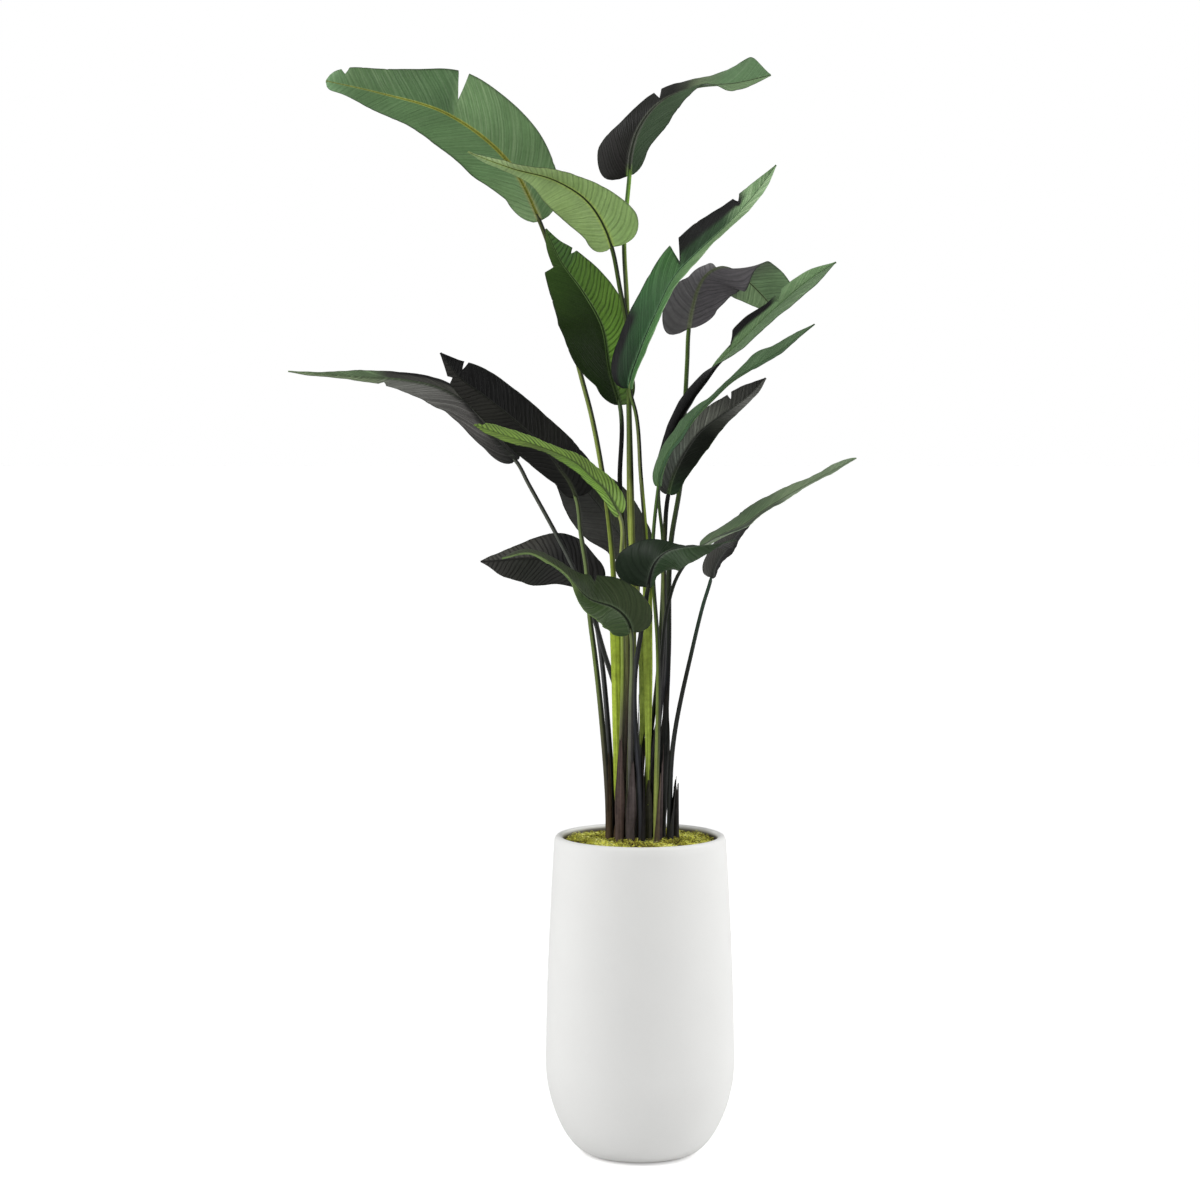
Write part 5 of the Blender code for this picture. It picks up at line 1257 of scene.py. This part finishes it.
def mottle_group():
    """Mottling: two sizes of noise over the object's own coordinates, around 0.

    Inputs: the scale of the large patches, and the share of the small ones. Output: a tone.
    """
    group, given, result = new_group("mottle", {"Scale": 14.0, "Small": 0.5}, ("Tone",))
    place = add(group, "ShaderNodeTexCoord").outputs["Object"]
    large = centred(group, noise_node(group, place, given["Scale"], detail=3.0, roughness=0.5))
    small = centred(group, noise_node(group, place, 160.0, detail=3.0))
    group.links.new(math_node(group, "ADD", large, times(group, small, given["Small"])), result["Tone"])
    return group


def fibres_group():
    """Fibres along a stem: noise stretched along it, with its length and its girth from the UV map.

    Input: Stretch, which multiplies the height. Outputs: a height from the fine streaks, and a tone around 0,
    a sum of coarse streaks, fine streaks and bands.
    """
    group, given, result = new_group("fibres", {"Stretch": 1.0}, ("Height", "Tone"))
    uv = add(group, "ShaderNodeUVMap", uv_map="veins").outputs["UV"]
    fine = stretched_noise(group, uv, 18.0, 900.0, detail=3.0)
    coarse = stretched_noise(group, uv, 4.0, 260.0, detail=3.0)
    bands = stretched_noise(group, uv, 60.0, 40.0, detail=4.0)
    group.links.new(times(group, fine, given["Stretch"]), result["Height"])
    tone = times(group, centred(group, coarse), 1.7)
    for noise, strength in ((fine, 0.5), (bands, 0.25)):
        tone = math_node(group, "ADD", tone, times(group, centred(group, noise), strength))
    group.links.new(tone, result["Tone"])
    return group


def place_group(tree, group, **values):
    """Places a group and sets its number inputs."""
    node = add(tree, "ShaderNodeGroup", node_tree=group)
    for label, value in values.items():
        node.inputs[label].default_value = value
    return node


def toned(tree, colour, tone, strength):
    """A colour made lighter or darker: colour times one plus the tone's strength, and never below a tenth."""
    factor = math_node(tree, "MAXIMUM", math_node(tree, "MULTIPLY_ADD", tone, strength, 1.0), 0.1)
    node = add(tree, "ShaderNodeVectorMath", operation="SCALE")
    tree.links.new(colour, node.inputs[0])
    tree.links.new(factor, node.inputs["Scale"])
    return node.outputs[0]


def mixed(tree, factor, first, second):
    """A mix of two colours, each a socket or a tuple."""
    node = add(tree, "ShaderNodeMix", data_type="RGBA")
    tree.links.new(factor, node.inputs[0])
    for socket, value in ((node.inputs[6], first), (node.inputs[7], second)):
        if isinstance(value, (tuple, np.ndarray)):
            socket.default_value = (*[float(v) for v in value], 1.0)
        else:
            tree.links.new(value, socket)
    return node.outputs[2]


def bumped(tree, material, height, distance, strength):
    """Feeds a height into the shader's normal."""
    bump = add(tree, "ShaderNodeBump")
    bump.inputs["Distance"].default_value = distance
    bump.inputs["Strength"].default_value = strength
    tree.links.new(height, bump.inputs["Height"])
    tree.links.new(bump.outputs["Normal"], shader(material).inputs["Normal"])


def attribute(tree, name):
    """The colour or number kept on the mesh under a name."""
    return add(tree, "ShaderNodeAttribute", attribute_name=name, attribute_type="GEOMETRY")


def base_colour(tree, material, colour):
    """Feeds a colour into the shader."""
    tree.links.new(colour, shader(material).inputs["Base Color"])


def leaf_material(name, groups, roughness, fine, sheen_lift, shine):
    """A blade: its painted tint, darkened and lightened by veins, pleats and mottling, with pale streaks of painted
    sheen.
    """
    material, tree = new_material(name, roughness, shine)
    veins = place_group(tree, groups["veins"], Fine=fine)
    tree.links.new(attribute(tree, "pleats").outputs["Fac"], veins.inputs["Wide"])
    mottle = place_group(tree, groups["mottle"], Scale=16.0, Small=0.5)
    colour = toned(tree, attribute(tree, "tint").outputs["Color"], veins.outputs["Tone"], 0.30)
    colour = toned(tree, colour, mottle.outputs["Tone"], 0.60)
    # the streaks lighten the colour: painted sheen
    sheen_streak = times(tree, attribute(tree, "streaks").outputs["Fac"], veins.outputs["Sheen_Streak"])
    base_colour(tree, material, mixed(tree, sheen_streak, colour, scaled_vector(tree, colour, sheen_lift)))
    rough = math_node(tree, "MULTIPLY_ADD", mottle.outputs["Tone"], 0.25, roughness)
    tree.links.new(rough, shader(material).inputs["Roughness"])
    bumped(tree, material, veins.outputs["Height"], distance=0.0011, strength=0.75)
    return material


def fibrous(tree, groups, fibre_strength, mottle_strength, **mottling):
    """The painted tint with fibres and mottling. Gives the colour and the height of the fibres."""
    fibres = place_group(tree, groups["fibres"], Stretch=1.0)
    mottle = place_group(tree, groups["mottle"], **mottling)
    colour = toned(tree, attribute(tree, "tint").outputs["Color"], fibres.outputs["Tone"], fibre_strength)
    return toned(tree, colour, mottle.outputs["Tone"], mottle_strength), fibres.outputs["Height"]


def stem_material(groups):
    """A stem: its painted tint with fibres along it and mottling."""
    material, tree = new_material("stem", roughness=0.42, shine=0.16)
    colour, height = fibrous(tree, groups, 0.75, 0.5, Scale=30.0, Small=0.6)
    base_colour(tree, material, colour)
    bumped(tree, material, height, distance=0.0006, strength=0.6)
    return material


def sheath_material(groups):
    """A dry sheath: its tint, darker and lighter along its fibres, browner towards its torn end."""
    material, tree = new_material("sheath", roughness=0.72, shine=0.15)
    colour, height = fibrous(tree, groups, 1.6, 0.7, Scale=40.0, Small=0.7)
    top = math_node(tree, "POWER", attribute(tree, "fade").outputs["Fac"], 7.0)
    base_colour(tree, material, mixed(tree, times(tree, top, 0.55), colour, linear(TORN_END_COLOUR)))
    bumped(tree, material, height, distance=0.0010, strength=0.8)
    return material


def moss_material(groups):
    """Moss: its tint with mottling, very rough, with a faint sheen."""
    material, tree = new_material("moss", roughness=0.95, shine=0.2)
    mottle = place_group(tree, groups["mottle"], Scale=70.0, Small=3.2)
    tint = attribute(tree, "tint").outputs["Color"]
    base_colour(tree, material, toned(tree, tint, mottle.outputs["Tone"], 1.5))
    place = add(tree, "ShaderNodeTexCoord").outputs["Object"]
    grain = noise_node(tree, place, 420.0, detail=5.0, roughness=0.7)
    bumped(tree, material, grain, distance=0.0018, strength=0.8)
    return material


def soil_material(groups):
    """Soil: dark crumbs, lighter and darker by noise, with a strong bump."""
    material, tree = new_material("soil", roughness=0.95)
    place = add(tree, "ShaderNodeTexCoord").outputs["Object"]
    grain = noise_node(tree, place, 260.0, detail=6.0, roughness=0.7)
    mottle = place_group(tree, groups["mottle"], Scale=60.0, Small=1.2)
    colour = mixed(tree, grain, linear(SOIL_DARK), linear(SOIL_LIGHT))
    base_colour(tree, material, toned(tree, colour, mottle.outputs["Tone"], 0.9))
    bumped(tree, material, grain, distance=0.003, strength=0.9)
    return material


def planter_material(groups):
    """The planter's matte white glaze: a faint cloudiness, a fine grain in its surface, and painted shade at its
    foot.

    The painted contact shadow at the foot fades with the square of the height. The inner wall below the rim is
    painted dark as shade.
    """
    material, tree = new_material("planter_white", GLAZE_ROUGHNESS)
    place = add(tree, "ShaderNodeTexCoord").outputs["Object"]
    mottle = place_group(tree, groups["mottle"], Scale=9.0, Small=0.35)
    white = add(tree, "ShaderNodeRGB").outputs[0]
    white.default_value = (*linear(GLAZE_WHITE), 1.0)
    colour = toned(tree, white, mottle.outputs["Tone"], 0.05)
    parts = add(tree, "ShaderNodeSeparateXYZ")
    tree.links.new(place, parts.inputs[0])
    # darker and browner towards the foot: painted contact shadow
    low = math_node(tree, "MULTIPLY_ADD", parts.outputs["Z"], -1 / FOOT_SHADE_HEIGHT, 1.0)
    foot_shade = times(tree, math_node(tree, "POWER", math_node(tree, "MAXIMUM", low, 0.0), 2.0), 0.5)
    colour = mixed(tree, foot_shade, colour, linear(FOOT_SHADE_COLOUR))
    # the inner wall below the rim gets a dark colour: painted shade inside the planter
    unshaded = attribute(tree, "unshaded").outputs["Fac"]
    base_colour(tree, material, mixed(tree, unshaded, linear(INNER_WALL_SHADE_COLOUR), colour))
    rough = math_node(tree, "MULTIPLY_ADD", mottle.outputs["Tone"], 0.18, GLAZE_ROUGHNESS)
    tree.links.new(rough, shader(material).inputs["Roughness"])
    bumped(tree, material, noise_node(tree, place, 520.0), distance=0.0005, strength=0.35)
    return material


# Pieces

def make_fronds(materials):
    """A piece for each frond: the blade and the stem in one mesh, with its own material on the underside."""
    for name, frond in FRONDS.items():
        look = LOOKS[name]
        path = Path(frond)
        vertices, faces, tint, numbers, uv = blade_arrays(name, frond, look, path)
        stem_vertices, stem_faces, stem_tint, stem_uv = stem_arrays(look, path)
        sizes = [len(part) for part in faces + stem_faces]
        slots = np.repeat([0, 2, 0, 0, 0, 0, 1, 1, 1], sizes)
        numbers = {label: np.append(values, np.zeros(len(stem_vertices))) for label, values in numbers.items()}
        used = (look["slot"], "stem", look.get("under_slot", look["slot"]))
        piece = put_in_mesh(name.replace("frond", "leaf"), np.concatenate([vertices, stem_vertices]),
                            faces + [part + len(vertices) for part in stem_faces], [materials[key] for key in used],
                            slots, np.concatenate([tint, stem_tint]), numbers, np.concatenate([uv, stem_uv]))
        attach(piece, "root")
        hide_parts(name)


def make_sheath(name, arrays, colour, material):
    """One sheath or stub from its arrays, in one colour."""
    vertices, faces, uv, fade = arrays
    tint = np.broadcast_to(linear(colour), (len(vertices), 3))
    return put_in_mesh(name, vertices, faces, [material], None, tint, {"fade": fade}, uv)


def make_sheaths(materials):
    """The sheaths round the feet of the stems, and the two cut stubs."""
    rng = np.random.default_rng(SHEATH_SEED)
    for name, frond, *shape, colour in SHEATHS:
        arrays = sheath_arrays(Path(FRONDS[frond]), *shape, rng)
        piece = make_sheath("sheath_" + name, arrays, colour, materials["sheath"])
        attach(piece, "root")
    for name, stub in STUBS.items():
        piece = make_sheath("cut_" + name, stub_arrays(stub, rng), STUB_COLOUR, materials["sheath"])
        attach(piece, "root")
        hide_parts(name)


def make_planter(materials):
    """The planter, finer than its solid."""
    radius, height, unshaded = planter_arrays()
    vertices, faces = turned_arrays(radius, height, POT_SEGMENTS)
    unshaded = np.append(np.repeat(unshaded, POT_SEGMENTS), (0, 1))
    piece = put_in_mesh("round_planter", vertices, faces, [materials["planter"]], numbers={"unshaded": unshaded})
    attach(piece, "root")
    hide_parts("planter")


def make_moss(materials):
    """The moss: its bed, which stands for the solid, and the loose fibres on it."""
    rng = np.random.default_rng(MOSS_SEED)
    vertices, faces, tufts = moss_bed_arrays(rng)
    x_speckle, y_speckle = np.sin(SPECKLE_RATES * vertices[:, :2]).T
    tone = BED_TONE + BED_SPECKLE * x_speckle * y_speckle
    bed = put_in_mesh("moss_bed", vertices, faces, [materials["moss"]], None, moss_colours(vertices, tone))
    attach(bed, "root")
    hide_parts("moss")
    vertices, faces, tone = moss_fibre_arrays(rng, tufts)
    fibres = put_in_mesh("moss_fibres", vertices, faces, [materials["moss"]], None, moss_colours(vertices, tone))
    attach(fibres, "root")


def dress_soil(materials):
    """The soil keeps its solid, with its own material."""
    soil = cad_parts["soil"]
    soil.data.materials.clear()
    soil.data.materials.append(materials["soil"])


def make_camera():
    """The camera of the photograph: level across, looking along +Y and a little down."""
    data = bpy.data.cameras.new("camera")
    data.lens = CAMERA_LENS
    data.sensor_width = CAMERA_SENSOR
    camera = bpy.data.objects.new("camera", data)
    camera.location = CAMERA_PLACE
    camera.rotation_euler = (math.radians(90 - CAMERA_DIP), 0, 0)
    bpy.context.scene.collection.objects.link(camera)
    bpy.context.scene.camera = camera


def make_floor():
    """A wide pale floor: white to the camera, and duller as a source of light, so that it lifts no shadow."""
    material, tree = new_material("floor", roughness=0.9, shine=0.0)
    seen = add(tree, "ShaderNodeLightPath").outputs["Is Camera Ray"]
    base_colour(tree, material, mixed(tree, seen, (FLOOR_BOUNCE,) * 3, (FLOOR_SEEN,) * 3))
    tree.links.new(times(tree, seen, FLOOR_GLOW), shader(material).inputs["Emission Strength"])
    shader(material).inputs["Emission Color"].default_value = (1, 1, 1, 1)
    signs = np.array([[-1, -1], [1, -1], [1, 1], [-1, 1]], float)
    corners = np.column_stack([FLOOR_HALF_SIZE * signs, np.full(4, -FLOOR_DROP)])
    floor = put_in_mesh("floor", corners, [np.array([[0, 1, 2, 3]])], [material])


def make_light(name, place, target, size, power):
    """A square soft light at a place, turned to a target."""
    data = bpy.data.lights.new(name, "AREA")
    data.size = size
    data.energy = power
    light = bpy.data.objects.new(name, data)
    light.location = place
    heading = np.array(target, float) - np.array(place, float)
    flat = math.hypot(heading[0], heading[1])
    light.rotation_euler = (math.atan2(flat, -heading[2]), 0, math.atan2(-heading[0], heading[1]))
    bpy.context.scene.collection.objects.link(light)


def make_world():
    """A white background, and a soft room for light: bright at both sides, dimmer in front, by direction."""
    world = bpy.data.worlds.new("world")
    world.use_nodes = True
    tree = world.node_tree
    background = tree.nodes["Background"]
    heading = add(tree, "ShaderNodeSeparateXYZ")
    tree.links.new(add(tree, "ShaderNodeTexCoord").outputs["Generated"], heading.inputs[0])
    across, deep, up = heading.outputs
    sides = times(tree, math_node(tree, "POWER", math_node(tree, "ABSOLUTE", across), 4.0), ROOM_SIDES)
    sides = math_node(tree, "MULTIPLY_ADD", across, ROOM_RIGHT, sides)
    above = times(tree, math_node(tree, "MAXIMUM", up, 0.0), ROOM_ABOVE)
    front = times(tree, math_node(tree, "MINIMUM", deep, 0.0), ROOM_FRONT)
    light = math_node(tree, "ADD", math_node(tree, "ADD", sides, above), math_node(tree, "ADD", front, ROOM_LEAST))
    seen = add(tree, "ShaderNodeLightPath").outputs["Is Camera Ray"]
    tree.links.new(math_node(tree, "MAXIMUM", light, seen), background.inputs["Strength"])
    background.inputs["Color"].default_value = (1, 1, 1, 1)
    bpy.context.scene.world = world
    bpy.context.scene.view_settings.view_transform = "Standard"


def make_materials():
    """The shared effects, then a material for each finish."""
    groups = {"veins": veins_group(), "mottle": mottle_group(), "fibres": fibres_group()}
    leaves = {name: leaf_material(name, groups, *values) for name, values in LEAF_FINISHES.items()}
    return {**leaves, "stem": stem_material(groups), "sheath": sheath_material(groups),
            "moss": moss_material(groups), "soil": soil_material(groups), "planter": planter_material(groups)}


def main():
    """Builds every piece, then the camera, the floor and the light."""
    materials = make_materials()
    make_fronds(materials)
    make_sheaths(materials)
    make_planter(materials)
    make_moss(materials)
    dress_soil(materials)
    make_camera()
    make_floor()
    make_world()
    for light in LIGHTS:
        make_light(*light)


main()
